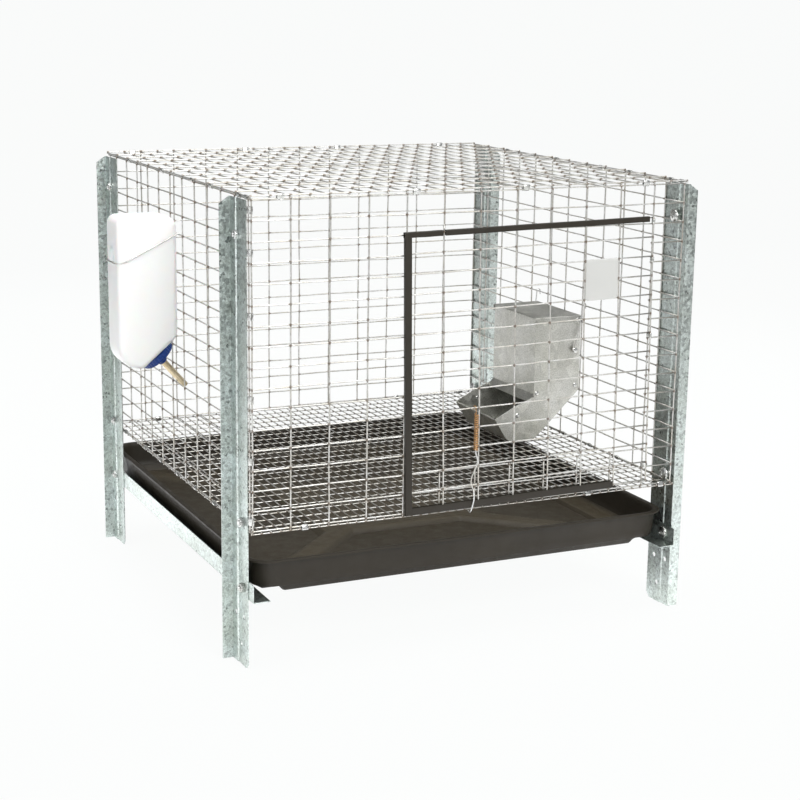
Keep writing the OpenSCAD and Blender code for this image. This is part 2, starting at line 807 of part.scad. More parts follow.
// Close-wound spring with a hook at its top end over a level door wire.
module latch_spring() color([0.72, 0.5, 0.28]) at() {
    n = 34;
    for (i = [0 : n - 1])
        translate([spr_x, spr_y, spr_z0 + 0.6 + i * (spr_z1 - spr_z0 - 1.2) / (n - 1)])
            rotate_extrude()
                translate([2.7, 0])
                    circle(r = 0.6, $fn = 24);
    bent([[spr_x, spr_y + 2.7, spr_z1 + 0.2], [spr_x, spr_y + 2.7, 134.2], [spr_x, -2.35, 134.2],
        [spr_x, -2.35, 128]], 0.5);
}

// Bent wire pull that hooks under the doorway's lowest wire.
module latch_hook() color(zinc) at() {
    bent([[spr_x, spr_y, spr_z0 + 8], [spr_x, spr_y, 72.5], [303.6, spr_y, 64], [302.6, spr_y, 57],
        [295.4, spr_y, 42], [294.6, spr_y, 35], [299, spr_y + 0.2, 22], [299.9, spr_y + 0.6, 11],
        [297.8, spr_y + 1, 2], [296.6, spr_y + 1.8, -3.6], [296.6, spr_y + 5, -6.6],
        [298.4, 2.6, -6.9]], 0.9);
}

front_panel();
right_panel();
back_panel();
left_panel();
corner_bends();
top_panel();
floor_panel();
door_panel();
door_trim_top_left();
door_trim_top_right();
door_trim_side();
door_trim_bottom();
door_tag();
hinge_clips();
seam_clips();
top_clips();
floor_clips();
leg_front_left();
leg_front_right();
leg_rear_left();
leg_rear_right();
rail_left();
rail_right();
cage_bolts();
cage_nuts();
rail_bolts();
rail_nuts();
drop_pan();
feeder_shell();
feeder_cheek_front();
feeder_cheek_rear();
feeder_hopper_front();
feeder_rivets();
feeder_pivots();
feeder_studs();
feeder_hooks();
feeder_lid();
bottle();
bottle_bail();
bottle_cap();
bottle_gasket();
sipper_tube();
sipper_ball();
latch_spring();
latch_hook();
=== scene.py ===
"""Looks for the wire rabbit cage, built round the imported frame."""

import math

import bpy
import numpy as np
from mathutils import Matrix, Vector


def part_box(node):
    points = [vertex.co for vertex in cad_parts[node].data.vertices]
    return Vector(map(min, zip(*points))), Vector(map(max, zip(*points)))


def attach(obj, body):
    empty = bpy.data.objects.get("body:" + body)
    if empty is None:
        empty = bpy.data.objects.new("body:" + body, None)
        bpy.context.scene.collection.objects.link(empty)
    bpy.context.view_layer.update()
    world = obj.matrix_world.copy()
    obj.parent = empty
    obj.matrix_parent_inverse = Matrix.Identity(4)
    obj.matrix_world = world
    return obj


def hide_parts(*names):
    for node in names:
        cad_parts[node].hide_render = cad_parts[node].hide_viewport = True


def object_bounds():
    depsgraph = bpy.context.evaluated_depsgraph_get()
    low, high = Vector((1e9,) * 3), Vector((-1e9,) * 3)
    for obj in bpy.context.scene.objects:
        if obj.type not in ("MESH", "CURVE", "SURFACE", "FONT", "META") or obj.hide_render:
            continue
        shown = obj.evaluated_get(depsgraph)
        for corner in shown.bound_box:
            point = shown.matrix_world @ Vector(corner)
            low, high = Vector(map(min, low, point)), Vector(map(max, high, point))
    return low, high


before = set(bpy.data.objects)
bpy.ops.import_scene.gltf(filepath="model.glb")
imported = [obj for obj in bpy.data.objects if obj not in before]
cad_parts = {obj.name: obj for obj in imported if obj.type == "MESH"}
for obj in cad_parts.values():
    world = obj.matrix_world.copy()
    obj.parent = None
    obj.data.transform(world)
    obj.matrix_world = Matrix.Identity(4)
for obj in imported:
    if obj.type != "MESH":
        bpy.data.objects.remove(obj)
cad_lo, cad_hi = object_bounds()

MM = 0.001
floor_lo, floor_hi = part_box("floor_panel")
panel_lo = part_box("front_panel")[0]
# The wire box's front-left-bottom corner, from which every length below is measured in mm.
CORNER = Vector((floor_lo.x + 0.8 * MM, floor_lo.y + 0.8 * MM, panel_lo.z + 1.15 * MM))
W = (floor_hi.x - floor_lo.x) / MM - 1.6
D = (floor_hi.y - floor_lo.y) / MM - 1.6
H = (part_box("leg_front_left")[1].z - CORNER.z) / MM + 1.4
GROUND = -CORNER.z / MM
# Mesh pitches: between uprights, between level wires, between floor wires.
PITCH, ROW, FINE = 50.8, 25.4, 12.7
R_WALL, R_FLOOR = 1.0, 0.8
# How far a wall wire's centre stands off the wall's mid plane, pressed a little into its crossings.
LAY = 0.9
HINGE_X, DOOR_W, DOOR_LIFT = 558.8, 355.6, 8.5
DROOP = math.radians(1.0)
rng = np.random.default_rng(11)


# ---- materials
def material(name, color, rough, metal=0.0, **inputs):
    """A principled material, its node tree and its shader node."""
    m = bpy.data.materials.new(name)
    m.use_nodes = True
    bsdf = m.node_tree.nodes["Principled BSDF"]
    bsdf.inputs["Base Color"].default_value = (*color, 1)
    bsdf.inputs["Roughness"].default_value = rough
    bsdf.inputs["Metallic"].default_value = metal
    for key, value in inputs.items():
        bsdf.inputs[key.replace("_", " ")].default_value = value
    return m, m.node_tree, bsdf


def node(tree, kind, **values):
    n = tree.nodes.new(kind)
    for key, value in values.items():
        if key in n.inputs:
            n.inputs[key].default_value = value
        else:
            setattr(n, key, value)
    return n


def coords(tree, scale=(1, 1, 1)):
    tc = node(tree, "ShaderNodeTexCoord")
    mp = node(tree, "ShaderNodeMapping", Scale=scale)
    tree.links.new(tc.outputs["Object"], mp.inputs["Vector"])
    return mp.outputs["Vector"]


def noise(tree, vector, scale, detail=3.0, rough=0.5):
    n = node(tree, "ShaderNodeTexNoise", Scale=scale, Detail=detail, Roughness=rough)
    tree.links.new(vector, n.inputs["Vector"])
    return n.outputs["Fac"]


def cells(tree, vector, scale):
    n = node(tree, "ShaderNodeTexVoronoi", Scale=scale)
    tree.links.new(vector, n.inputs["Vector"])
    return n


def ramp(tree, fac, stops):
    n = node(tree, "ShaderNodeValToRGB")
    el = n.color_ramp.elements
    while len(el) < len(stops):
        el.new(0.5)
    for e, (pos, c) in zip(el, stops):
        e.position = pos
        e.color = (*c, 1) if len(c) == 3 else c
    tree.links.new(fac, n.inputs["Fac"])
    return n.outputs["Color"]


def grey(v):
    return (v, v, v)


def mix(tree, fac, a, b, mode="MIX"):
    n = node(tree, "ShaderNodeMix", data_type="RGBA", blend_type=mode)
    for value, socket in ((fac, n.inputs[0]), (a, n.inputs[6]), (b, n.inputs[7])):
        if isinstance(value, bpy.types.NodeSocket):
            tree.links.new(value, socket)
        else:
            socket.default_value = value if isinstance(value, float) else (*value, 1)
    return n.outputs[2]


def times(tree, a, b):
    n = node(tree, "ShaderNodeMath", operation="MULTIPLY")
    tree.links.new(a, n.inputs[0])
    if isinstance(b, float):
        n.inputs[1].default_value = b
    else:
        tree.links.new(b, n.inputs[1])
    return n.outputs[0]


def bump(tree, bsdf, height, strength, distance=0.0004):
    n = node(tree, "ShaderNodeBump", Strength=strength, Distance=distance)
    tree.links.new(height, n.inputs["Height"])
    tree.links.new(n.outputs["Normal"], bsdf.inputs["Normal"])


def sheet_metal(name, tint, low=0.55, high=1.0, rough=(0.30, 0.52), size=210.0):
    """Hot-dip zinc sheet: crystal spangle, finer frosting, a few dull rubs."""
    m, t, b = material(name, tint, 0.4, 1.0)
    v = coords(t)
    big = cells(t, v, size)
    tone = ramp(t, big.outputs["Color"], [(0.0, grey(low)), (0.45, grey(0.80)), (1.0, grey(high))])
    frost = ramp(t, noise(t, v, 620, 4, 0.75), [(0.36, (0.26, 0.26, 0.23)), (0.56, grey(1.0))])
    cloud = ramp(t, noise(t, v, 26, 3, 0.6), [(0.30, (0.80, 0.80, 0.76)), (0.70, grey(1.0))])
    c = mix(t, 0.85, tint, tone, "MULTIPLY")
    c = mix(t, 0.55, c, frost, "MULTIPLY")
    c = mix(t, 1.0, c, cloud, "MULTIPLY")
    t.links.new(c, b.inputs["Base Color"])
    r = ramp(t, big.outputs["Color"], [(0.0, grey(rough[0])), (1.0, grey(rough[1]))])
    t.links.new(r, b.inputs["Roughness"])
    bump(t, b, noise(t, v, 700, 3, 0.6), 0.25)
    return m


def wire_metal(name, tint, weld=True):
    """Galvanised wire with fine drawing marks, and scorched brown beside the welds."""
    m, t, b = material(name, tint, 0.36, 0.85)
    v = coords(t)
    tone = ramp(t, noise(t, v, 420, 4, 0.65), [(0.3, grey(0.66)), (0.7, grey(1.0))])
    long = ramp(t, noise(t, v, 35, 2, 0.5), [(0.3, (0.80, 0.765, 0.70)), (0.62, grey(1.0))])
    c = mix(t, 1.0, tint, tone, "MULTIPLY")
    c = mix(t, 1.0, c, long, "MULTIPLY")
    if weld:
        a = node(t, "ShaderNodeAttribute", attribute_name="tone")
        patchy = ramp(t, noise(t, v, 160, 3, 0.6), [(0.20, grey(0.65)), (0.45, grey(1.0))])
        spot = times(t, a.outputs["Fac"], patchy)
        c = mix(t, spot, c, (0.125, 0.083, 0.052))
        metal = ramp(t, spot, [(0.0, grey(0.85)), (1.0, grey(0.25))])
        t.links.new(metal, b.inputs["Metallic"])
    t.links.new(c, b.inputs["Base Color"])
    bump(t, b, noise(t, v, 1500, 2, 0.5), 0.15, 0.0002)
    return m


def plastic(name, color, rough, vary=0.25, grain=0.3, size=900.0, lit_floor_colour=None, **inputs):
    """Moulded plastic: faint colour drift, fine mould grain, uneven gloss, and where given, a lighter
    colour laid on by the tone attribute as painted light.
    """
    m, t, b = material(name, color, rough, 0.0, **inputs)
    v = coords(t)
    drift = ramp(t, noise(t, v, 9, 4, 0.6), [(0.25, grey(1 - vary)), (0.75, grey(1.0))])
    c = mix(t, 1.0, color, drift, "MULTIPLY")
    if lit_floor_colour:
        # Painted light: this lighter colour stands in for light falling on the tray's floor.
        where = node(t, "ShaderNodeAttribute", attribute_name="tone")
        c = mix(t, where.outputs["Fac"], c, lit_floor_colour)
    t.links.new(c, b.inputs["Base Color"])
    g = ramp(t, noise(t, v, 60, 4, 0.6), [(0.3, grey(rough * 0.82)), (0.7, grey(min(1, rough * 1.2)))])
    t.links.new(g, b.inputs["Roughness"])
    bump(t, b, noise(t, v, size, 3, 0.6), grain)
    return m


WIRE = wire_metal("wire_galvanised", (0.73, 0.73, 0.71))
ROD = wire_metal("wire_bright", (0.78, 0.79, 0.79), weld=False)
SHEET = sheet_metal("sheet_galvanised", (0.78, 0.86, 0.85), 0.30, 1.0, (0.24, 0.50), 320.0)
FEED = sheet_metal("sheet_feeder", (0.80, 0.80, 0.765), 0.70, 1.0, (0.34, 0.50), 90.0)
ZINC = sheet_metal("zinc_plate", (0.84, 0.85, 0.85), 0.86, 1.0, (0.22, 0.34), 700.0)
# The tray's last colour is painted light for its lit floor.
PAN = plastic("pan_plastic", (0.026, 0.0215, 0.0145), 0.46, 0.30, 0.35, 1400.0, (0.058, 0.048, 0.031),
              Specular_IOR_Level=0.26)
TRIM = plastic("trim_plastic", (0.026, 0.022, 0.016), 0.42, 0.25, 0.25, Specular_IOR_Level=0.3)
LID = sheet_metal("sheet_lid", (0.60, 0.60, 0.575), 0.70, 1.0, (0.44, 0.60), 90.0)
BOTTLE = plastic("bottle_plastic", (0.88, 0.885, 0.875), 0.38, 0.03, 0.06, 300.0,
                 Subsurface_Weight=0.2, Subsurface_Scale=0.015, Specular_IOR_Level=0.35)
CAP = plastic("cap_plastic", (0.010, 0.048, 0.235), 0.34, 0.2, 0.10, Specular_IOR_Level=0.3)
RUBBER = plastic("rubber", (0.02, 0.02, 0.02), 0.7)
CARD = plastic("card", (0.54, 0.545, 0.53), 0.55, 0.06, 0.15, 500.0, Specular_IOR_Level=0.12)
COPPER = wire_metal("spring_copper", (0.60, 0.35, 0.16), weld=False)
TUBE = wire_metal("tube_steel", (0.68, 0.58, 0.40), weld=False)


# ---- mesh helpers
def smoothstep(t):
    t = np.clip(t, 0, 1)
    return t * t * (3 - 2 * t)


def add_bevel(ob, width):
    mod = ob.modifiers.new("edges", "BEVEL")
    mod.width, mod.segments, mod.limit_method = width * MM, 2, "ANGLE"
    mod.angle_limit = math.radians(40)
    mod.harden_normals = True


def build(name, verts, faces, mat, body, replaces=(), slot=None, sharp=35, bevel=0.0, tone=None):
    """Makes one piece from points in mm from CORNER; tone is a value per point for its material."""
    me = bpy.data.meshes.new(name)
    co = np.asarray(verts, float) * MM + np.array(CORNER)
    me.from_pydata(co.tolist(), [], [list(map(int, f)) for f in faces])
    me.validate()
    me.polygons.foreach_set("use_smooth", [True] * len(me.polygons))
    if sharp:
        me.set_sharp_from_angle(angle=math.radians(sharp))
    if tone is not None:
        tones = me.attributes.new("tone", "FLOAT", "POINT").data
        tones.foreach_set("value", np.asarray(tone, np.float32))
    ob = bpy.data.objects.new(name, me)
    bpy.context.scene.collection.objects.link(ob)
    me.materials.append(mat)
    if bevel:
        add_bevel(ob, bevel)
    if body:
        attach(ob, body)
    if replaces:
        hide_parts(*replaces)
    return ob


class Parts:
    """Collects several closed shells into one piece."""

    def __init__(self):
        self.v, self.f, self.n = [], [], 0

    def add(self, shell, matrix=None):
        v, f = shell
        v = np.asarray(v, float)
        if matrix is not None:
            m = np.array(matrix)
            v = v @ m[:3, :3].T + m[:3, 3]
        self.v.append(v)
        self.f += [[i + self.n for i in face] for face in f]
        self.n += len(v)
        return self

    def done(self, name, mat, body, **kw):
        return build(name, np.vstack(self.v), self.f, mat, body, **kw)


def loft(loops, closed=False):
    """Skins equal-length closed loops, in order; closed joins the last to the first."""
    n = len(loops[0])
    v = np.vstack(loops)
    f = []
    last = len(loops) if closed else len(loops) - 1
    for a in range(last):
        b = (a + 1) % len(loops)
        for k in range(n):
            j = (k + 1) % n
            f.append([a * n + k, a * n + j, b * n + j, b * n + k])
    if not closed:
        f.append(list(range(n))[::-1])
        f.append([(len(loops) - 1) * n + k for k in range(n)])
    return v, f


def ring(r, z, n):
    """Level loop of n points; r is a radius or a function of the angle."""
    a = np.arange(n) * 2 * math.pi / n
    r = r(a) if callable(r) else r
    return np.stack([r * np.cos(a), r * np.sin(a), np.full(n, float(z))], 1)


def lathe(profile, n=32, closed=False):
    """Turned shell from (radius, height) pairs about +Z."""
    return loft([ring(r, z, n) for r, z in profile], closed)


def frame_z(origin, direction):
    """Matrix that puts local +Z along direction at origin."""
    q = Vector(direction).to_track_quat("Z", "Y")
    return Matrix.Translation(Vector(origin)) @ q.to_matrix().to_4x4()


def fillet(points, r, n=5):
    """Rounds the corners of an open line of points in 2-D or 3-D."""
    p = [np.asarray(q, float) for q in points]
    radii = r if isinstance(r, (list, tuple)) else [r] * len(p)
    out = [p[0]]
    for i in range(1, len(p) - 1):
        a, b = p[i - 1] - p[i], p[i + 1] - p[i]
        la, lb = np.linalg.norm(a), np.linalg.norm(b)
        a, b = a / la, b / lb
        turn = math.pi - math.acos(max(-1, min(1, float(a @ b))))
        t = min(radii[i] * math.tan(turn / 2), 0.48 * la, 0.48 * lb)
        if t < 1e-4:
            out.append(p[i])
            continue
        for k in range(n + 1):
            s = k / n
            out.append(p[i] + a * t * (1 - s) ** 2 + b * t * s ** 2)
    out.append(p[-1])
    return np.array(out)


def offset(path, t):
    """The line shifted t to its left, with mitred corners."""
    p = np.asarray(path, float)
    d = np.diff(p, axis=0)
    d /= np.linalg.norm(d, axis=1)[:, None]
    nrm = np.stack([-d[:, 1], d[:, 0]], 1)
    m = np.vstack([nrm[:1], nrm[:-1] + nrm[1:], nrm[-1:]])
    m[1:-1] *= (2 / (m[1:-1] ** 2).sum(1))[:, None]
    return p + m * t


AXES = {"x": (1, 2, 0), "y": (0, 2, 1), "z": (0, 1, 2)}


def prism(outline, axis, a0, a1):
    """Straight extrusion of a closed outline along x, y or z."""
    i, j, k = AXES[axis]
    loops = []
    for a in (a0, a1):
        loop = np.zeros((len(outline), 3))
        loop[:, i], loop[:, j], loop[:, k] = outline[:, 0], outline[:, 1], a
        loops.append(loop)
    return loft(loops)


def sheet(path, t, axis, a0, a1, r=1.5, n=5):
    """Folded sheet: a path drawn in the other two axes, thickness t to its left."""
    p = fillet(path, r, n)
    return prism(np.vstack([p, offset(p, t)[::-1]]), axis, a0, a1)


def tube(path, r, sides=8):
    """Round wire along a 3-D path; r may vary along it."""
    p = np.asarray(path, float)
    d = np.gradient(p, axis=0)
    d /= np.linalg.norm(d, axis=1)[:, None]
    up = np.array([0, 0, 1.0]) if abs(d[0][2]) < 0.9 else np.array([1.0, 0, 0])
    r = np.broadcast_to(np.asarray(r, float), (len(p),))
    a = np.arange(sides) * 2 * math.pi / sides
    loops = []
    for q, t, rad in zip(p, d, r):
        up = up - t * (up @ t)
        up /= np.linalg.norm(up)
        side = np.cross(t, up)
        loops.append(q + rad * (np.outer(np.cos(a), up) + np.outer(np.sin(a), side)))
    return loft(loops)


def boolean(ob, cutters):
    """Cuts closed shells out of a piece and keeps the result as its mesh."""
    cut = cutters.done("cutter", ob.data.materials[0], None)
    mod = ob.modifiers.new("cut", "BOOLEAN")
    mod.operation, mod.solver, mod.object = "DIFFERENCE", "EXACT", cut
    dg = bpy.context.evaluated_depsgraph_get()
    dg.update()
    me = bpy.data.meshes.new_from_object(ob.evaluated_get(dg))
    ob.modifiers.remove(mod)
    ob.data = me
    me.polygons.foreach_set("use_smooth", [True] * len(me.polygons))
    me.set_sharp_from_angle(angle=math.radians(35))
    bpy.data.objects.remove(cut)


# ---- mesh
def wires(name, node_name, body, items, door=False):
    """Round wires with a small nugget at each weld.

    Each item is (start, end, radius, distances of the crossings from the start, axis of the ripple).
    """
    sides = 8
    ang = np.arange(sides) * 2 * math.pi / sides
    verts, faces, weld, base = [], [], [], 0
    for a, b, r, cross, wave in items:
        a, b = np.array(a, float), np.array(b, float)
        length = np.linalg.norm(b - a)
        d = (b - a) / length
        st = [(0.0, 0.0), (length, 0.0)]
        for s in cross:
            for ds, w in ((-2.6, 0.0), (-1.4, 0.9), (0.0, 1.0), (1.4, 0.9), (2.6, 0.0)):
                if 0.2 < s + ds < length - 0.2:
                    st.append((s + ds, w))
        st.sort()
        s = np.array([q[0] for q in st])
        w = np.array([q[1] for q in st])
        u = np.cross(d, [0.3, 0.5, 0.81])
        u /= np.linalg.norm(u)
        v = np.cross(d, u)
        amp = rng.uniform(0.15, 0.45)
        lam = rng.uniform(110, 260)
        phase = rng.uniform(0, 6.28)
        taper = smoothstep(np.minimum(s, length - s) / 25)
        c = a + np.outer(s, d) + np.outer(amp * taper * np.sin(s * 2 * math.pi / lam + phase), wave)
        rad = r * (1 + 0.16 * np.where(w > 0.95, 1, w * 0.5))
        rings = (c[:, None, :] + rad[:, None, None]
                 * (np.cos(ang)[None, :, None] * u + np.sin(ang)[None, :, None] * v))
        n = len(s)
        verts.append(rings.reshape(-1, 3))
        weld.append(np.repeat(w * rng.uniform(0.55, 1.0, n), sides))
        k = np.arange(sides)
        j = (k + 1) % sides
        for i in range(n - 1):
            q = base + i * sides
            faces += np.stack([q + k, q + j, q + sides + j, q + sides + k], 1).tolist()
        faces.append((base + k[::-1]).tolist())
        faces.append((base + (n - 1) * sides + k).tolist())
        base += n * sides
    v = np.vstack(verts)
    if door:
        v = droop(v)
    return build(name, v, faces, WIRE, body, replaces=[node_name], slot="wire", sharp=0,
                 tone=np.concatenate(weld))


def droop(v):
    """The hung door's droop about its hinge wire."""
    v = np.array(v, float)
    x, z = v[:, 0] - HINGE_X, v[:, 2] - H / 2
    v[:, 0] = HINGE_X + x * math.cos(DROOP) - z * math.sin(DROOP)
    v[:, 2] = H / 2 + z * math.cos(DROOP) + x * math.sin(DROOP)
    return v


NX, NY, NZ = round(W / PITCH), round(D / PITCH), round(H / ROW)
LATCH_I, HINGE_I = round((HINGE_X - DOOR_W) / PITCH), round(HINGE_X / PITCH)
levels = [H - j * ROW for j in range(NZ + 1)]
BEND = 4.0
# Rows of wall mesh kept above and below the doorway.
LINTEL, SILL = 2, 2
X_AX, Y_AX, Z_AX = (1, 0, 0), (0, 1, 0), (0, 0, 1)
STRAIGHT = (0, 0, 0)


def post(x, y, z0, z1, wave, step=ROW, top=None):
    """Upright wire, welded at every step down from top."""
    top = H if top is None else top
    cross = [z - z0 for z in np.arange(top, z0 - 1, -step) if z0 - 0.5 < z < z1 + 0.5]
    return ((x, y, z0), (x, y, z1), R_WALL, cross, wave)


def level_x(y, z, x0, x1, r=R_WALL, step=PITCH, wave=Z_AX):
    """Wire along X, welded at every step."""
    cross = [x - x0 for x in np.arange(0, W + 1, step) if x0 - 0.5 < x < x1 + 0.5]
    return ((x0, y, z), (x1, y, z), r, cross, wave)


def level_y(x, z, y0, y1, r=R_WALL, step=PITCH, wave=Z_AX):
    """Wire along Y, welded at every step."""
    cross = [y - y0 for y in np.arange(0, D + 1, step) if y0 - 0.5 < y < y1 + 0.5]
    return ((x, y0, z), (x, y1, z), r, cross, wave)


def mesh_panels():
    """Four walls, roof, floor and the bent wires of three corners."""
    z0, z1 = -1.15, H + 1.15
    it = [post(i * PITCH, -LAY, z0, z1, X_AX) for i in range(1, LATCH_I + 1)]
    it += [post(i * PITCH, -LAY, H - LINTEL * ROW - 1.3, z1, X_AX) for i in range(LATCH_I + 1, HINGE_I)]
    it += [post(i * PITCH, -LAY, z0, SILL * ROW + 1.3, X_AX, top=SILL * ROW)
           for i in range(LATCH_I + 1, HINGE_I)]
    it += [post(i * PITCH, -LAY, z0, z1, STRAIGHT if i == HINGE_I else X_AX) for i in range(HINGE_I, NX)]
    it += [post(1.2, -LAY, z0, z1, X_AX), post(W - BEND - 0.6, -LAY, z0, z1, X_AX)]
    for j, z in enumerate(levels):
        if j <= LINTEL or j >= NZ - SILL:
            it.append(level_x(LAY, z, 0.2, W - BEND))
        else:
            it.append(level_x(LAY, z, 0.2, LATCH_I * PITCH + 1))
            it.append(level_x(LAY, z, HINGE_I * PITCH - 1, W - BEND))
    wires("front_mesh", "front_panel", "cage", it)
    it = [post(W + LAY, i * PITCH, z0, z1, Y_AX) for i in range(1, NY)]
    it.append(post(W + LAY, D - BEND - 0.6, z0, z1, Y_AX))
    it += [level_y(W - LAY, z, BEND, D - BEND) for z in levels]
    wires("right_mesh", "right_panel", "cage", it)
    it = [post(i * PITCH, D + LAY, z0, z1, X_AX) for i in range(1, NX)]
    it.append(post(BEND + 0.6, D + LAY, z0, z1, X_AX))
    it += [level_x(D - LAY, z, BEND, W - BEND) for z in levels]
    wires("back_mesh", "back_panel", "cage", it)
    it = [post(-LAY, i * PITCH, z0, z1, Y_AX) for i in range(1, NY)]
    it.append(post(-LAY, 3.4, z0, z1, Y_AX))
    it += [level_y(LAY, z, 2.4, D - BEND) for z in levels]
    wires("left_mesh", "left_panel", "cage", it)
    zt = H + 2.25
    it = [level_y(i * ROW, zt, -0.8, D + 0.8, wave=X_AX) for i in range(2 * NX + 1)]
    it += [level_x(i * PITCH, zt + 2 * LAY, -0.8, W + 0.8, step=ROW, wave=Y_AX) for i in range(NY + 1)]
    wires("top_mesh", "top_panel", "cage", it)
    zf = -1.2 - R_FLOOR
    it = [level_y(i * FINE, zf, -0.8, D + 0.8, R_FLOOR, ROW, X_AX) for i in range(4 * NX + 1)]
    it += [level_x(i * ROW, zf - 1.45, -0.8, W + 0.8, R_FLOOR, FINE, Y_AX) for i in range(2 * NY + 1)]
    wires("floor_mesh", "floor_panel", "cage", it)
    bends = Parts()
    for z in levels:
        for cx, cy, a0 in ((W - BEND, BEND, -90), (W - BEND, D - BEND, 0), (BEND, D - BEND, 90)):
            a = np.radians(a0 + np.linspace(0, 90, 7))
            r = BEND - LAY
            path = np.stack([cx + r * np.cos(a), cy + r * np.sin(a), np.full(7, z)], 1)
            bends.add(tube(path, R_WALL))
    bends.done("corner_wires", ROD, "cage", replaces=["corner_bends"], slot="wire", sharp=0)


# The door's level wires and its uprights, in front of the wall.
Y_DH, Y_DV = -4.10, -5.97


def door_mesh():
    """Door mesh, uprights outside; one upright runs on past the top."""
    n = round(DOOR_W / PITCH)
    it = []
    for i in range(n + 1):
        x = HINGE_X - i * PITCH
        z1 = DOOR_LIFT + DOOR_W + (9 if i == n - 1 else 1.05)
        # The hinge wire turns inside its clips, so it has no ripple.
        it.append(post(x, Y_DV, DOOR_LIFT - 1.2, z1, X_AX if i else STRAIGHT, top=DOOR_LIFT + DOOR_W))
    for j in range(round(DOOR_W / ROW) + 1):
        z = DOOR_LIFT + j * ROW
        it.append(level_x(Y_DH, z, HINGE_X - DOOR_W - 1.5, HINGE_X - 0.6))
    wires("door_mesh", "door_panel", "door", it, door=True)


def door_strips():
    """Plastic channels over the door's cut edges."""
    yb, yf, t = -2.15, -7.9, 0.75
    top = DOOR_LIFT + DOOR_W
    xl = HINGE_X - DOOR_W

    def channel(name, node_name, path, thick, axis, a0, a1):
        """Folded strip from a0 to a1 with a faint waviness along it."""
        v = sheet(path, thick, axis, a0, a1, 0.9, 4)[0]
        loops = []
        half = len(v) // 2
        for s in np.linspace(0, 1, 31):
            loop = v[:half] * (1 - s) + v[half:] * s
            loop[:, 2 if axis == "x" else 0] += 0.16 * math.sin(9 * s + a0) * math.sin(math.pi * s)
            loops.append(loop)
        v, f = loft(loops)
        build(name, droop(v), f, TRIM, "door", replaces=[node_name], slot="trim", bevel=0.18)

    u = [(yb, top - 4.9), (yb, top + 1.95), (yf, top + 1.95), (yf, top - 4.9)]
    channel("trim_top_short", "door_trim_top_left", u, t, "x", xl - 2.8, xl + PITCH - 1.6)
    channel("trim_top_long", "door_trim_top_right", u, t, "x", xl + PITCH + 1.6, HINGE_X - 6.8)
    s = [(xl + 6.3, yb), (xl - 2.5, yb), (xl - 2.5, yf), (xl + 6.3, yf)]
    channel("trim_side", "door_trim_side", s, t, "z", DOOR_LIFT - 3.6, top - 5)
    b = [(yb, DOOR_LIFT + 5.5), (yb, DOOR_LIFT - 3.5), (yf, DOOR_LIFT - 3.5), (yf, DOOR_LIFT + 5.5)]
    channel("trim_bottom", "door_trim_bottom", b, -t, "x", xl + 6.4, HINGE_X - PITCH - 1.6)


def door_card():
    """Plain card folded over one level door wire, slightly bowed, corners rounded."""
    z = DOOR_LIFT + 12 * ROW
    x0, x1 = HINGE_X - 2 * PITCH + 1.3, HINGE_X - PITCH - 1.3
    drop, corner = 52, 3.0
    path = fillet([(-5.12, z - drop), (-5.12, z + 1.15), (-2.80, z + 1.15), (-2.80, z - 7)], 1.0, 6)
    n_u, rows = 14, []
    full = np.vstack([np.linspace(path[0], path[1], 26)[:-1], path[1:]])
    for outer in (0.0, 0.40):
        line = offset(full, outer)
        grid = []
        for yy, zz in line:
            edge = min(zz - (z - drop), corner) / corner if yy < -4 else 1.0
            inset = corner * (1 - math.sqrt(max(0.0, 1 - (1 - edge) ** 2)))
            xs = np.linspace(x0 + inset, x1 - inset, n_u + 1)
            s = (xs - x0) / (x1 - x0)
            bow = -0.28 * np.sin(math.pi * s) * smoothstep((z - 4 - zz) / 30) if yy < -4 else 0 * s
            grid.append(np.stack([xs, yy + bow, np.full(n_u + 1, zz)], 1))
        rows.append(np.array(grid))
    inner, outer = rows
    loops = [np.vstack([inner[i], outer[i][::-1]]) for i in range(len(inner))]
    v, f = loft(loops)
    build("plain_card", droop(v), f, CARD, "door", replaces=["door_tag"], slot="card")


# ---- clips
def clip(p1, p2, length, r_wire, t=0.75):
    """Sheet clip wrapped round two wires that run along +Z at p1 and p2 (2-D), with a lapped seam."""
    p1, p2 = np.array(p1, float), np.array(p2, float)
    d = p2 - p1
    base = math.atan2(d[1], d[0])
    r = r_wire + 0.12
    path = []
    for k in range(13):
        a = base + math.pi / 2 + math.pi * k / 12
        path.append(p1 + r * np.array([math.cos(a), math.sin(a)]))
    for k in range(13):
        a = base - math.pi / 2 + math.pi * k / 12
        path.append(p2 + r * np.array([math.cos(a), math.sin(a)]))
    path = np.array(path[4:] + path[:2])
    out = offset(path, -t)
    outline = np.vstack([path, out[::-1]])
    half = length / 2
    loops = []
    mid = (p1 + p2) / 2
    for z, k in ((-half, 0.0), (-half + 0.35, 1.0), (half - 0.35, 1.0), (half, 0.0)):
        lo = outline.copy()
        lo[len(path):] = lo[len(path):] + (mid - lo[len(path):]) * 0.05 * (1 - k)
        loops.append(np.column_stack([lo, np.full(len(lo), z)]))
    return loft(loops)


HINGE_CLIP_ROWS = (2, 4, 8, 15)
SEAM_CLIP_ROWS = (0.5, 2.5, 5.5, 9.5, 12.5, 15.5)
TOP_CLIPS_X, TOP_CLIPS_Y = (1.5, 8.5, 14.5, 21.5), (0.5, 1.5, 5.5, 8.5, 13.5, 19.5)
FLOOR_CLIPS_X, FLOOR_CLIPS_Y = (5.5, 37.5, 46.5), (5.5, 8.5, 11.5, 14.5, 17.5, 21.5)


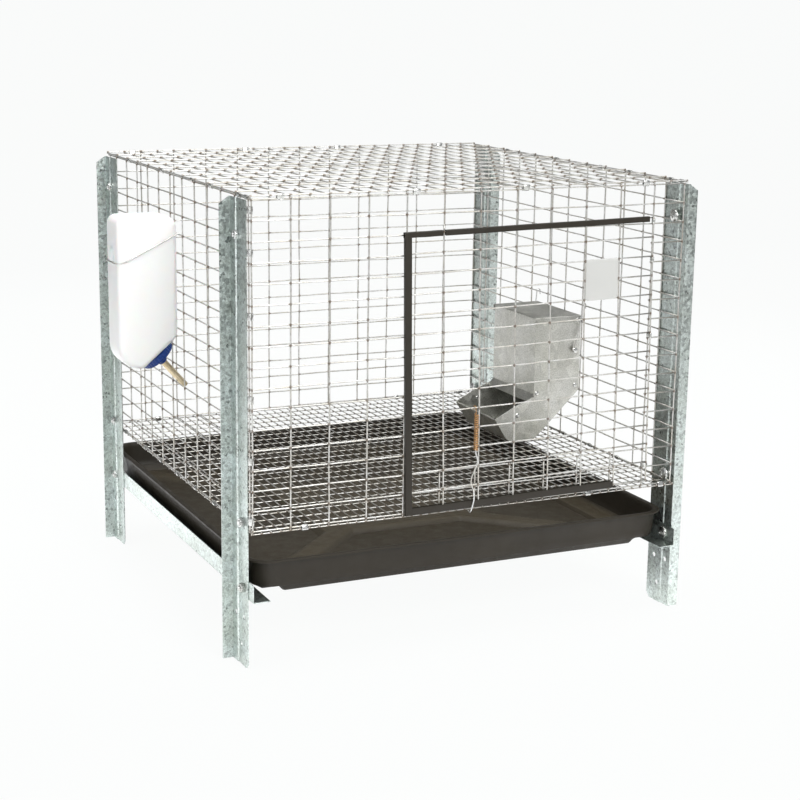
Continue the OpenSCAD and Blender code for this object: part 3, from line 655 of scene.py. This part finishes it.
def clips():
    """Clips on the door's hinge wire, the corner seam, the roof's edge and the floor's edge."""
    rot_x = Matrix.Rotation(math.pi / 2, 4, "Y")
    parts = Parts()
    for j in HINGE_CLIP_ROWS:
        z = H - j * ROW + 4.25
        xd = HINGE_X - (z - H / 2) * math.sin(DROOP)
        parts.add(clip((xd, Y_DV), (HINGE_X, -LAY), 5.8, 1.15), Matrix.Translation((0, 0, z)))
    parts.done("hinge_clips_bent", ZINC, "cage", replaces=["hinge_clips"], slot="clips")
    parts = Parts()
    for j in SEAM_CLIP_ROWS:
        parts.add(clip((1.2, -LAY), (-LAY, 3.4), 9, 1.05), Matrix.Translation((0, 0, H - j * ROW)))
    parts.done("seam_clips_bent", ZINC, "cage", replaces=["seam_clips"], slot="clips")
    zt, zx = H + 2.25, H + 2.25 + 2 * LAY
    parts = Parts()
    # rot_x carries local (x, y) to world (-z, y) with the length along +X.
    for i in TOP_CLIPS_X:
        for y1, y0 in ((LAY, 0.0), (D - LAY, D)):
            m = Matrix.Translation((i * ROW, 0, 0)) @ rot_x
            parts.add(clip((-H, y1), (-zx, y0), 9, 1.05), m)
    rot_y = Matrix.Rotation(-math.pi / 2, 4, "X")
    # rot_y carries local (x, y) to world (x, -z) with the length along +Y.
    for i in TOP_CLIPS_Y:
        for x1, x0 in ((LAY, 0.0), (W - LAY, W)):
            m = Matrix.Translation((0, i * ROW, 0)) @ rot_y
            parts.add(clip((x1, -H), (x0, -zt), 9, 1.05), m)
    parts.done("top_clips_bent", ZINC, "cage", replaces=["top_clips"], slot="clips")
    zf = -1.2 - R_FLOOR
    parts = Parts()
    for i in FLOOR_CLIPS_X:
        for y1, y0 in ((LAY, 0.0), (D - LAY, D)):
            m = Matrix.Translation((i * FINE, 0, 0)) @ rot_x
            parts.add(clip((0, y1), (1.45 - zf, y0), 8, 1.05), m)
    for i in FLOOR_CLIPS_Y:
        for x1, x0 in ((LAY, 0.0), (W - LAY, W)):
            m = Matrix.Translation((0, i * ROW, 0)) @ rot_y
            parts.add(clip((x1, 0), (x0, -zf), 8, 1.05), m)
    parts.done("floor_clips_bent", ZINC, "cage", replaces=["floor_clips"], slot="clips")


# ---- legs and rails
# Legs: gap to the wall's mid plane, narrow flange, sheet thickness, wide flange.
SKIN, LEG_N, LEG_T, LEG_W = 2.05, 17.0, 1.2, 50.8
LEG_Y = {"front_right": 2.0, "rear_right": D - 54.6, "front_left": 56.8, "rear_left": D - 6.6}
COL_A, COL_B, COL_TOP = 15.0, 35.0, 21.0
LOW_COL = {"front_right": COL_A, "rear_right": COL_B, "front_left": COL_B, "rear_left": COL_A}
BOLT_Z = (H - 44.9, 7.0)
RAIL_BOLT_Z = -77.5
LEG_TOP = H - 1.4
SPARE_HOLES, SPARE_R = ((12, -116), (36, -116), (27, -154)), 3.3
CUT_NARROW, CUT_WIDE = 9.6, 8


def side_matrix(right, y, z=0.0):
    """Puts a part drawn with +X outwards onto the right or left side of the cage."""
    m = Matrix.Translation((W if right else 0, y, z))
    return m if right else m @ Matrix.Rotation(math.pi, 4, "Z")


def legs():
    """Creased angle legs with cut corners and spare holes."""
    for key, y in LEG_Y.items():
        right = key.endswith("right")
        m = side_matrix(right, y)
        path = [(SKIN + LEG_N, 0), (SKIN + 2.2, 0), (SKIN + 1.5, 16.5), (SKIN, 18.5), (SKIN, LEG_W)]
        p = fillet(path, [0, 1.6, 2.0, 2.0, 0], 6)
        outline = np.vstack([p, offset(p, -LEG_T)[::-1]])
        zs = np.linspace(GROUND, LEG_TOP, 40)
        loops = [np.column_stack([outline, np.full(len(outline), z)]) for z in zs]
        ob = Parts().add(loft(loops), m).done(
            f"leg_{key}_sheet", SHEET, "cage", replaces=[f"leg_{key}"], slot="galvanised_sheet")
        cut = Parts()
        for z, s in ((GROUND, 1), (LEG_TOP, -1)):
            x = SKIN + LEG_N
            tri = np.array([(x + 1, z - s), (x + 1, z + s * CUT_NARROW), (x - 14, z - s)])
            cut.add(prism(tri, "y", -3, 5), m)
            tri = np.array([(LEG_W + 1, z - s), (LEG_W + 1, z + s * CUT_WIDE), (LEG_W - 8, z - s)])
            cut.add(prism(tri, "x", -2, 9), m)
        for u, z in SPARE_HOLES:
            cut.add(lathe([(SPARE_R, 0), (SPARE_R, 12)], 20), m @ frame_z((-2, u, z), X_AX))
        boolean(ob, cut)
        add_bevel(ob, 0.22)


RAIL_Z, RAIL_H, RAIL_W, RAIL_Y0 = -89.5, 24.0, 23.0, -9.5


def rails():
    """Angles under the cage that the pan slides on."""
    for right in (False, True):
        m = side_matrix(right, D - RAIL_Y0 if not right else RAIL_Y0)
        path = [(SKIN, RAIL_Z + RAIL_H), (SKIN, RAIL_Z), (SKIN - RAIL_W, RAIL_Z)]
        p = fillet(path, 2.0, 6)
        outline = np.vstack([p, offset(p, -LEG_T)[::-1]])
        length = D - 2 * RAIL_Y0
        loops = [np.insert(outline, 1, s, axis=1) for s in np.linspace(0, length, 30)]
        name = "rail_right" if right else "rail_left"
        Parts().add(loft(loops), m).done(f"{name}_sheet", SHEET, "cage", replaces=[name],
                                         slot="galvanised_sheet", bevel=0.22)


def bolt(x0, x1):
    """Truss-head bolt: flange, dome, drive recess, shank and a few thread crests at the end."""
    prof = [(0.01, x0 - 2.4), (2.1, x0 - 2.3), (2.5, x0 - 3.7), (2.9, x0 - 3.75)]
    for a in np.radians(np.linspace(67.5, 0, 10)):
        prof.append((8.4 * math.cos(a), x0 - 0.95 - 2.85 * math.sin(a)))
    prof += [(8.9, x0 - 0.9), (9.0, x0 - 0.45), (8.85, x0 + 0.0), (3.05, x0 + 0.02)]
    x = x1 - 5.6
    while x < x1 - 0.7:
        prof += [(2.75, x), (3.08, x + 0.45)]
        x += 0.9
    prof += [(2.5, x1 - 0.1), (0.01, x1)]
    return lathe(prof, 40)


def nut(x0):
    """Hexagon nut with chamfered corners."""
    corner = 6.35

    def hexa(r):
        return lambda a: np.minimum(r / np.cos((a % (math.pi / 3)) - math.pi / 6), corner)
    flat = corner * math.cos(math.pi / 6)
    prof = [(3.13, 0.15), (3.5, 0.0), (5.35, 0.0), (hexa(flat), 0.55), (hexa(flat), 4.45),
            (5.35, 5.0), (3.5, 5.0), (3.13, 4.85)]
    v, f = lathe(prof, 36, closed=True)
    v[:, 2] += x0
    return v, f


def hardware():
    """Leg bolts and rail bolts, each with its nut turned a little differently."""
    along = frame_z((0, 0, 0), X_AX)
    sets = {"cage_bolts": [], "rail_bolts": []}
    for key, y in LEG_Y.items():
        s = 1 if key.endswith("right") else -1
        sets["cage_bolts"] += [(key, y + s * COL_TOP, BOLT_Z[0]), (key, y + s * LOW_COL[key], BOLT_Z[1])]
        sets["rail_bolts"].append((key, y + s * LOW_COL[key], RAIL_BOLT_Z))
    for name, places in sets.items():
        head_x = -SKIN if name == "cage_bolts" else SKIN - LEG_T - 0.03
        bolts, nuts = Parts(), Parts()
        for i, (key, y, z) in enumerate(places):
            m = side_matrix(key.endswith("right"), y, z) @ along
            bolts.add(bolt(head_x, SKIN + LEG_T + 7), m)
            nuts.add(nut(SKIN + LEG_T + 0.03), m @ Matrix.Rotation(0.3 + 0.7 * i, 4, "Z"))
        bolts.done(name + "_turned", ZINC, "cage", replaces=[name], slot="zinc_hardware", sharp=28)
        nut_node = name.replace("bolts", "nuts")
        nuts.done(nut_node + "_hex", ZINC, "cage", replaces=[nut_node], slot="zinc_hardware", sharp=25)


# ---- drop pan
def pan():
    """Moulded tray: rolled lip, drafted walls, ledge floor with four sunk pockets and ribs between."""
    lo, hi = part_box("drop_pan")
    lo, hi = (lo - CORNER) / MM, (hi - CORNER) / MM
    cx, cy = (lo.x + hi.x) / 2, (lo.y + hi.y) / 2
    hw, hd = (hi.x - lo.x) / 2, (hi.y - lo.y) / 2
    rim_z, base_z = hi.z, lo.z
    ledge = rim_z - 37.5
    x0, x1 = -260.0, 260.0
    y0, y1 = -(hd - 9), hd - 9
    pockets = []
    for s in (-1, 1):
        ye, yi = s * y1, s * (y1 - 25)
        pockets.append([(x0, ye), (x1, ye), (x1, yi), (84, s * 118), (-84, s * 118), (x0, yi)])
        pockets.append([(s * x1, y0 + 58), (s * x1, y1 - 58), (s * 124, 118), (s * 124, -118)])

    def sunk(x, y):
        """How deep the floor is sunk at each point, 0 on the ledge to 1 in a pocket."""
        depth = np.zeros_like(x)
        for poly in pockets:
            p = np.array(poly, float)
            if ((p[:, 0] * np.roll(p[:, 1], -1)) - (np.roll(p[:, 0], -1) * p[:, 1])).sum() < 0:
                p = p[::-1]
            inside = np.full(x.shape, 1e9)
            for a, b in zip(p, np.roll(p, -1, axis=0)):
                d = (b - a) / np.linalg.norm(b - a)
                inside = np.minimum(inside, d[0] * (y - a[1]) - d[1] * (x - a[0]))
            depth = np.maximum(depth, smoothstep((inside + 1.0) / 7.0))
        return depth

    r_floor = 24.0
    fw, fd = hw - 12.5, hd - 12.5

    def border(w, d, r, z):
        """Loop round a rounded rectangle that pairs vertex for vertex with the floor grid's edge."""
        w, d, r = float(w), float(d), float(r)
        c = 10
        phi = np.linspace(0, math.pi / 2, c + 1)
        vs = np.concatenate([-(d - r) - r * np.sin(phi[::-1]), np.linspace(-(d - r), d - r, n_v)[1:-1],
                             (d - r) + r * np.sin(phi)])
        ws = np.concatenate([w - r + r * np.cos(phi[::-1]), np.full(n_v - 2, w),
                             w - r + r * np.cos(phi)])
        us = np.linspace(-1, 1, n_u)
        loop = [(u * ws[0], vs[0]) for u in us]
        loop += [(ws[i], vs[i]) for i in range(1, len(vs))]
        loop += [(u * ws[-1], vs[-1]) for u in us[::-1][1:]]
        loop += [(-ws[i], vs[i]) for i in range(len(vs) - 2, 0, -1)]
        a = np.array(loop)
        return np.column_stack([a[:, 0] + cx, a[:, 1] + cy, np.full(len(a), float(z))]), vs, ws, us

    n_u, n_v = 150, 130
    vs, ws, us = border(fw, fd, r_floor, 0)[1:]
    gx = us[None, :] * ws[:, None]
    gy = np.repeat(vs[:, None], len(us), 1)
    inside = np.minimum(fw - np.abs(gx), fd - np.abs(gy))
    fade = smoothstep(inside / 7.0)
    depth = sunk(gx, gy)
    top = ledge - 6.5 * depth * fade + 3.0 * (1 - smoothstep(inside / 9.0))
    groove = np.exp(-((np.abs(gx) - 268) / 1.3) ** 2) * 0.5 * (np.abs(gy) < fd - 30)
    top -= groove
    under = top - 2.5
    under = np.maximum(under, base_z + 0.05)
    runner = smoothstep((2.6 - np.abs(np.abs(gx) - 289.5)) / 1.2) * (np.abs(gy) < fd - 34)
    under = under * (1 - runner) + (base_z + 0.55) * runner
    rows, cols = gx.shape
    grid_top = np.column_stack([(gx + cx).ravel(), (gy + cy).ravel(), top.ravel()])
    grid_low = np.column_stack([(gx + cx).ravel(), (gy + cy).ravel(), under.ravel()])
    idx = np.arange(rows * cols).reshape(rows, cols)
    edge = np.concatenate([idx[0, :], idx[1:, -1], idx[-1, ::-1][1:], idx[-2:0:-1, 0]])
    a, b = idx[:-1, :-1].ravel(), idx[:-1, 1:].ravel()
    c, d = idx[1:, 1:].ravel(), idx[1:, :-1].ravel()
    n0 = rows * cols
    faces = np.stack([a, b, c, d], 1).tolist()
    faces += (np.stack([a, d, c, b], 1) + n0).tolist()
    verts = [grid_top, grid_low]
    # (inset from the pan's outside, corner radius, height): up the inner wall, over the lip, down again.
    walls = [(-11.2, r_floor + 1, ledge + 6.0), (-10.2, r_floor + 2, ledge + 11),
             (-8.8, r_floor + 3.5, rim_z - 5), (-8.0, r_floor + 4, rim_z - 1.6),
             (-7.2, r_floor + 4.5, rim_z - 0.4), (-6.0, r_floor + 5, rim_z),
             (-1.2, 31.5, rim_z), (-0.3, 31.9, rim_z - 0.5), (0, 32, rim_z - 1.5),
             (-0.3, 32, rim_z - 2.8), (-1.2, 31.5, rim_z - 3.0), (-5.2, 28, rim_z - 3.0),
             (-6.2, 27.5, rim_z - 4.5), (-8.0, 26, ledge + 10), (-9.0, 25, ledge + 5),
             (-10.4, 24.2, ledge + 1.0)]
    base = 2 * n0
    prev = edge
    for inset, r, z in walls:
        loop = border(hw + inset, hd + inset, r, z)[0]
        ids = base + np.arange(len(loop))
        verts.append(loop)
        faces += np.stack([prev, ids, np.roll(ids, -1), np.roll(prev, -1)], 1).tolist()
        prev, base = ids, base + len(loop)
    low = edge + n0
    faces += np.stack([prev, low, np.roll(low, -1), np.roll(prev, -1)], 1).tolist()
    verts = np.vstack(verts)
    # Painted light on the floor's top face: lighter where light falls, fading out near the walls and
    # partly in the pockets as painted shade.
    painted_lit_floor = np.zeros(len(verts))
    painted_lit_floor[:n0] = (0.9 * fade * (1 - 0.55 * depth)).ravel()
    build("tray", verts, faces, PAN, "pan", replaces=["drop_pan"], slot="pan_plastic", sharp=32,
          tone=painted_lit_floor)


# ---- feeder
def feeder():
    """Hanging sheet feeder: trough, end plates, hopper front, lid, pins and wire hangers."""
    lo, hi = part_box("feeder_cheek_front")
    lo, hi = (lo - CORNER) / MM, (hi - CORNER) / MM
    x1, z1 = hi.x, hi.z
    x0 = x1 - 75.6
    t = 0.8
    kw = {"slot": "galvanised_sheet", "bevel": 0.15}
    ya, yb = lo.y, (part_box("feeder_cheek_rear")[1].y - CORNER.y) / MM
    path = [(x1, z1 - 10.5), (x1, 76), (x1 - 72.6, 7), (x1 - 116.6, 7), (x1 - 138.9, 42.4),
            (x1 - 131.4, 40)]
    v, f = sheet(path, -t, "y", ya + t, yb - t, [0, 4, 16, 16, 0.9, 0], 8)
    build("feeder_trough", v, f, FEED, "cage", replaces=["feeder_shell"], **kw)
    out = [(x1 - 6, z1), (x1 - 2.8, z1 - 1), (x1 - 1.2, z1 - 4.5), (x1 - 1.2, 177), (x1, 174), (x1, 76),
           (x1 - 72.6, 7), (x1 - 116.6, 7), (x1 - 138.9, 42.4), (x1 - 109.6, 58), (x0, 71), (x0, z1)]
    radii = [0, 1, 1, 1, 1, 4, 16, 16, 1.5, 30, 1.5, 0]
    line = fillet(out, radii, 8)
    for name, node_name, y in (("feeder_end_front", "feeder_cheek_front", ya),
                               ("feeder_end_rear", "feeder_cheek_rear", yb - t)):
        v, f = prism(line, "y", y, y + t)
        build(name, v, f, FEED, "cage", replaces=[node_name], **kw)
    v, f = sheet([(x0, z1), (x0, 75), (x0 - 8, 64)], t, "y", ya + t, yb - t, 3, 6)
    build("feeder_front_sheet", v, f, FEED, "cage", replaces=["feeder_hopper_front"], **kw)
    yo, yi = ya - 1.05, yb + 1.05
    path = [(yo, z1 - 8), (yo, z1 + 1), (yi, z1 + 1), (yi, z1 - 8)]
    v, f = sheet(path, t, "x", x0 - 1.6, x0 + 73.8, 1.0, 5)
    build("feeder_lid_sheet", v, f, LID, "lid", replaces=["feeder_lid"], **kw)
    rivets = [(x1 - 70.6, 76.4), (x1 - 6.4, 84), (x1 - 102, 45.6)]
    pivot, stud = (x1 - 6, z1 - 4.5), (x1 - 11.6, 137.8)

    def headed(p, z_out, head_r, head_h, shank_end):
        """Pin through one end plate at p, upset inside and headed outside."""
        prof = [(0.01, -t - 1.05), (2.6, -t - 1.0), (3.0, -t - 0.75), (3.0, -t - 0.02), (1.95, -t),
                (1.95, shank_end)]
        for k, rise in ((0.98, 0), (1, 0.25), (0.86, 0.68), (0.5, 0.95)):
            prof.append((head_r * k, z_out + rise * head_h))
        return lathe(prof + [(0.01, z_out + head_h)], 24), p

    kinds = {"feeder_rivets": [headed(p, 0.02, 3.4, 1.1, 0.01) for p in rivets],
             "feeder_pivots": [headed(pivot, 1.95, 3.2, 0.85, 1.93)],
             "feeder_studs": [headed(stud, 5.4, 4.0, 1.2, 5.38)]}
    for node_name, shapes in kinds.items():
        parts = Parts()
        for shell, p in shapes:
            parts.add(shell, frame_z((p[0], ya, p[1]), (0, -1, 0)))
            parts.add(shell, frame_z((p[0], yb, p[1]), (0, 1, 0)))
        parts.done(node_name + "_turned", ZINC, "cage", replaces=[node_name], slot="zinc_hardware")
    zh = H - 8 * ROW
    parts = Parts()
    for y in (ya - 4.2, yb + 4.2):
        a = np.radians(np.linspace(-250, 90, 26))
        eye = [(stud[0] + 3.1 * math.cos(q), y, stud[1] + 3.1 * math.sin(q)) for q in a]
        rest = [(stud[0] + 1.2, y, 147), (x1 - 4.4, y, 168), (x1 - 1.6, y, 196), (W - 3.6, y, zh + 3),
                (W - 0.8, y, zh + 3.9), (W + 1.4, y, zh + 1.8), (W + 1.9, y, zh - 4.5)]
        path = np.vstack([eye[:-1], fillet([eye[-1]] + rest, 2.2, 5)])
        parts.add(tube(path, 0.9, 10))
    parts.done("feeder_hangers", ROD, "cage", replaces=["feeder_hooks"], slot="wire", sharp=0)


# ---- bottle
# Bottle: its two sides along X, its near face and its thickness along Y.
BX1, BX0, BY0, BW = -2.8, -84.0, 268.0, 58.0
BYM = BY0 + BW / 2
CAP_TILT = math.radians(41)
CAP_C = (-29.5, BYM, 171.5)
CAP_DIR = (math.sin(math.pi - CAP_TILT), 0, math.cos(math.pi - CAP_TILT))


def arc2(c, r, a0, a1, n):
    """Arc of n steps in a plane from a0 to a1 degrees."""
    a = np.radians(np.linspace(a0, a1, n + 1))
    return np.stack([c[0] + r * np.cos(a), c[1] + r * np.sin(a)], 1)


def bottle():
    """Flat bottle with a carrying lug, its ribbed cap, washer, drinking tube, ball and wire bail."""
    top = 356
    r = 9.0

    def outline(e):
        """Side view of the bottle, drawn in by e all round."""
        return np.vstack([
            arc2((BX1 - 16, top - 16), 16 - e, 0, 90, 12),
            arc2((BX0 + 12, top - 12), 12 - e, 90, 180, 10),
            arc2((BX0 + 30, 183.5), 30 - e, 180, 270, 18),
            arc2((-53.8, 163.5), 10 - e, 270, 311, 6),
            arc2((BX1 - 20, 203), 20 - e, -49, 0, 9)])
    def across(p, y):
        return np.insert(p, 1, y, axis=1)
    steps = [(r * (1 - math.cos(a)), r * (1 - math.sin(a))) for a in np.radians(np.linspace(4, 90, 9))]
    inner = outline(r)
    centre = inner.mean(0)
    flats = [centre + (inner - centre) * k for k in (0.2, 0.55)]
    loops = [across(p, BY0) for p in flats]
    loops += [across(outline(e), BY0 + y) for y, e in steps]
    loops += [across(outline(e), BY0 + BW - y) for y, e in reversed(steps)]
    loops += [across(p, BY0 + BW) for p in reversed(flats)]
    parts = Parts().add(loft(loops))
    m = frame_z(CAP_C, CAP_DIR)
    neck = [(0.01, -3), (14.2, -3), (14.5, -2.6), (14.5, 7.6), (14.1, 7.8), (0.01, 7.8)]
    parts.add(lathe(neck, 40), m)
    lug = []
    for y in np.linspace(-7, 7, 11):
        k = math.sqrt(max(0.0, 1 - (y / 7.4) ** 2))
        prof = np.array([(4, 298), (0.2, 297.6), (-2.3 * k, 297.5), (-3.0 * k, 299.0), (-2.9 * k, 302.5),
                         (-1.6 * k, 310), (0.3, 316.5), (4, 318)])
        lug.append(across(prof + (BX0, 0), BYM + y))
    parts.add(loft(lug))
    parts.done("bottle_shell", BOTTLE, "cage", replaces=["bottle"], slot="bottle_plastic", sharp=50)

    ribs, rc = 34, 23.6

    def ribbed(r):
        return lambda a: r + 0.75 * np.abs(np.cos(a * ribs / 2)) ** 0.6
    prof = [(14.55, 0.9), (rc - 0.7, 0.9), (rc - 0.1, 1.2), (ribbed(rc), 1.6), (ribbed(rc), 8.2),
            (ribbed(rc - 0.5), 9.3), (rc - 1.0, 10.6), (rc - 2.3, 11.2),
            (10.4, 11.3), (9.4, 12.2), (8.6, 16), (6.4, 16.3), (6.2, 19.6), (5.9, 20),
            (4.55, 20), (4.53, 9.2), (14.55, 8.9)]
    Parts().add(lathe(prof, 6 * ribs, closed=True), m).done(
        "cap_ribbed", CAP, "cap", replaces=["bottle_cap"], slot="cap_plastic", sharp=40)
    washer = lathe([(4.55, 7.9), (14.1, 7.9), (14.1, 8.8), (4.55, 8.8)], 40, closed=True)
    Parts().add(washer, m).done(
        "cap_washer", RUBBER, "cap", replaces=["bottle_gasket"], slot="gasket_rubber")
    tip = 66.6
    prof = [(4.5, 4), (4.5, tip - 1.4), (4.35, tip - 0.6), (3.9, tip - 0.1), (3.3, tip),
            (3.2, tip - 0.3), (3.22, tip - 0.75), (3.9, tip - 0.95), (3.9, 4)]
    Parts().add(lathe(prof, 32, closed=True), m).done(
        "drinking_tube", TUBE, "cap", replaces=["sipper_tube"], slot="tube_metal")
    c = tip - 3.0
    prof = [(3.85 * math.sin(a) + 0.004, c - 3.85 * math.cos(a)) for a in np.linspace(0, math.pi, 17)]
    Parts().add(lathe(prof, 24), m).done("drinking_ball", ZINC, "ball", replaces=["sipper_ball"],
                                         slot="zinc_hardware")
    z = H - 3 * ROW
    ya, yb = BY0 - 1.6, BY0 + BW + 1.6
    pts = [(3.5, ya, z - 4), (3.5, ya, z + 2.6), (-3.4, ya, z + 2.4), (BX0 + 8, ya, 297.5),
           (BX0 - 1.4, ya + 7, 294.8), (BX0 - 1.4, yb - 7, 294.8), (BX0 + 8, yb, 297.5),
           (-3.4, yb, z + 2.4), (3.5, yb, z + 2.6), (3.5, yb, z - 4)]
    path = fillet(pts, [0, 2.2, 2.2, 14, 9, 9, 14, 2.2, 2.2, 0], 7)
    Parts().add(tube(path, 1.0, 10)).done("bottle_bail_wire", ROD, "cage", replaces=["bottle_bail"],
                                          slot="wire", sharp=0)


# ---- latch
def latch():
    """Coil spring hooked over a door wire, and the wavy pull it holds up under the doorway."""
    sx, sy, z1, z0 = 300.5, -10.6, 125.0, 76.0
    turns, coil_r = 20, 2.54
    a = np.linspace(0, turns * 2 * math.pi, turns * 18 + 1)
    coil = np.stack([sx + coil_r * np.sin(a), sy + coil_r * np.cos(a),
                     z0 + 0.6 + (z1 - z0 - 1.2) * a / a[-1]], 1)
    hook = fillet([coil[-1], (sx + 0.6, sy + 2.75, z1 + 1.5), (sx, sy + 2.7, 134.2), (sx, -2.35, 134.2),
                   (sx, -2.35, 128)], [0, 2, 1.6, 1.4, 0], 6)
    path = np.vstack([coil[:-1], hook])
    r = np.where(np.arange(len(path)) < len(coil), 0.74, 0.5)
    Parts().add(tube(path, r, 8)).done("latch_coil", COPPER, "latch", replaces=["latch_spring"],
                                       slot="spring_metal", sharp=0)
    pts = [(sx, sy, z0 + 8), (sx, sy, 72.5), (303.6, sy, 64), (302.6, sy, 57), (295.4, sy, 42),
           (294.6, sy, 35), (299, sy + 0.2, 22), (299.9, sy + 0.6, 11), (297.8, sy + 1, 2),
           (296.6, sy + 1.8, -3.6), (296.6, sy + 5, -6.6), (298.4, 2.6, -6.9)]
    path = fillet(pts, [0, 4, 5, 6, 6, 7, 12, 12, 10, 5, 3, 0], 6)
    Parts().add(tube(path, 0.92, 10)).done("latch_pull_wire", ROD, "latch_pull", replaces=["latch_hook"],
                                           slot="wire", sharp=0)


mesh_panels()
door_mesh()
door_strips()
door_card()
clips()
legs()
rails()
hardware()
pan()
feeder()
bottle()
latch()


# ---- stage
# (distance in quarter metres, grey): a painted pool of light in the floor's colour, bright round a point
# behind the cage and darker away from it;
# and a painted reflection glow for bare metal, dark under the cage as painted shadow, bright beside it
# and fading away from it.
FLOOR_PAINTED_POOL = ((0.0, 0.95), (0.28, 0.93), (0.44, 0.50), (0.8, 0.34), (1.0, 0.28))
FLOOR_REFLECTION_GLOW = ((0.0, 0.10), (0.07, 0.16), (0.12, 0.66), (0.175, 0.62), (0.325, 0.38), (0.45, 0.25),
               (0.6, 0.13), (0.8, 0.04))
POOL_CENTRE = (0.3, 1.2, 0.0)
FLOOR_HALF_WIDTH, FLOOR_FRONT, SWEEP_START, SWEEP_R = 12.0, -6.0, 3.0, 3.0


def fade_by_distance(tree, vector, stops):
    far = node(tree, "ShaderNodeVectorMath", operation="LENGTH")
    tree.links.new(vector, far.inputs[0])
    return ramp(tree, times(tree, far.outputs["Value"], 0.25), [(at, grey(v)) for at, v in stops])


def stage():
    """White floor that sweeps up behind; the camera sees it as near white wherever it is lit."""
    ground = bpy.data.meshes.new("ground")
    line = [(FLOOR_FRONT, 0.0), (SWEEP_START, 0.0)]
    line += [(SWEEP_START + SWEEP_R * math.sin(a), SWEEP_R - SWEEP_R * math.cos(a))
             for a in np.linspace(0.05, math.pi / 2, 24)]
    line.append((SWEEP_START + SWEEP_R, 9.0))
    pts = [(x, y, z) for x in (-FLOOR_HALF_WIDTH, FLOOR_HALF_WIDTH) for y, z in line]
    m = len(line)
    faces = [[i, i + 1, m + i + 1, m + i] for i in range(m - 1)]
    ground.from_pydata(pts, [], faces)
    ground.polygons.foreach_set("use_smooth", [True] * len(faces))
    ob = bpy.data.objects.new("studio_floor", ground)
    bpy.context.scene.collection.objects.link(ob)
    mat, t, b = material("studio_floor", (0.93, 0.94, 0.935), 0.9)
    here = node(t, "ShaderNodeNewGeometry").outputs["Position"]
    shift = node(t, "ShaderNodeVectorMath", operation="SUBTRACT")
    shift.inputs[1].default_value = POOL_CENTRE
    t.links.new(here, shift.inputs[0])
    # Painted pool of light: the floor's colour is light near a point behind the cage and darker away
    # from it.
    t.links.new(fade_by_distance(t, shift.outputs["Vector"], FLOOR_PAINTED_POOL), b.inputs["Base Color"])
    glow = node(t, "ShaderNodeEmission", Strength=1.0)
    glow.inputs["Color"].default_value = (0.985, 0.995, 0.99, 1)
    ray = node(t, "ShaderNodeLightPath")
    blend = node(t, "ShaderNodeMixShader")
    t.links.new(times(t, ray.outputs["Is Camera Ray"], 0.96), blend.inputs[0])
    t.links.new(b.outputs[0], blend.inputs[1])
    t.links.new(glow.outputs[0], blend.inputs[2])
    # Painted reflection: a glow that only glossy rays see, dark under the cage as painted shadow, bright
    # beside it and fading with distance.
    reflection_glow = node(t, "ShaderNodeEmission")
    t.links.new(fade_by_distance(t, here, FLOOR_REFLECTION_GLOW), reflection_glow.inputs["Color"])
    t.links.new(times(t, ray.outputs["Is Glossy Ray"], 1.5), reflection_glow.inputs["Strength"])
    both = node(t, "ShaderNodeAddShader")
    t.links.new(blend.outputs[0], both.inputs[0])
    t.links.new(reflection_glow.outputs[0], both.inputs[1])
    t.links.new(both.outputs[0], t.nodes["Material Output"].inputs["Surface"])
    ground.materials.append(mat)


def area(name, place, size, power, color=(1, 1, 1)):
    """Square lamp aimed at the middle of the cage."""
    light = bpy.data.lights.new(name, "AREA")
    light.shape, light.size, light.energy, light.color = "SQUARE", size, power, color
    ob = bpy.data.objects.new(name, light)
    ob.location = place
    aim = (cad_lo + cad_hi) / 2 - Vector(place)
    ob.rotation_euler = aim.to_track_quat("-Z", "Y").to_euler()
    bpy.context.scene.collection.objects.link(ob)


def lighting():
    """Grey room with four soft lamps. The camera sees plain white past the edge of the floor."""
    world = bpy.data.worlds.new("studio")
    world.use_nodes = True
    t = world.node_tree
    bg = t.nodes["Background"]
    tc = node(t, "ShaderNodeTexCoord")
    sep = node(t, "ShaderNodeSeparateXYZ")
    t.links.new(tc.outputs["Generated"], sep.inputs[0])
    room = ramp(t, sep.outputs["Z"], [(0.0, grey(0.50)), (0.45, (0.42, 0.43, 0.45)), (1.0, grey(1.0))])
    ray = node(t, "ShaderNodeLightPath")
    t.links.new(mix(t, ray.outputs["Is Camera Ray"], room, (1.27, 1.28, 1.275)), bg.inputs["Color"])
    bg.inputs["Strength"].default_value = 0.75
    bpy.context.scene.world = world
    area("key", (0.3, -3.0, 2.2), 1.5, 98, (1.0, 0.995, 0.98))
    area("fill", (-2.6, -0.6, 0.9), 1.6, 22, (0.98, 0.99, 1.0))
    area("top", (0.1, -0.2, 2.9), 2.0, 52)
    area("rim", (2.7, 1.0, 1.9), 1.6, 14)


# Azimuth, elevation and roll of the view, and the camera's place in mm from CORNER.
VIEW = [math.radians(a) for a in (-25.122, 13.066, 0.844)]
CAMERA_AT = Vector((-697.25, -1908.01, 638.28))
LENS = 77.966


def camera():
    az, el, roll = VIEW
    fwd = Vector((-math.sin(az) * math.cos(el), math.cos(az) * math.cos(el), -math.sin(el)))
    right = Vector((math.cos(az), math.sin(az), 0))
    up = right.cross(fwd)
    r = right * math.cos(roll) + up * math.sin(roll)
    u = up * math.cos(roll) - right * math.sin(roll)
    m = Matrix((r, u, -fwd)).transposed().to_4x4()
    m.translation = CORNER + CAMERA_AT * MM
    cam = bpy.data.cameras.new("camera")
    cam.lens, cam.sensor_width = LENS, 36.0
    cam.clip_start, cam.clip_end = 0.05, 50
    ob = bpy.data.objects.new("camera", cam)
    ob.matrix_world = m
    bpy.context.scene.collection.objects.link(ob)
    bpy.context.scene.camera = ob


stage()
lighting()
camera()
bpy.context.scene.view_settings.view_transform = "Standard"
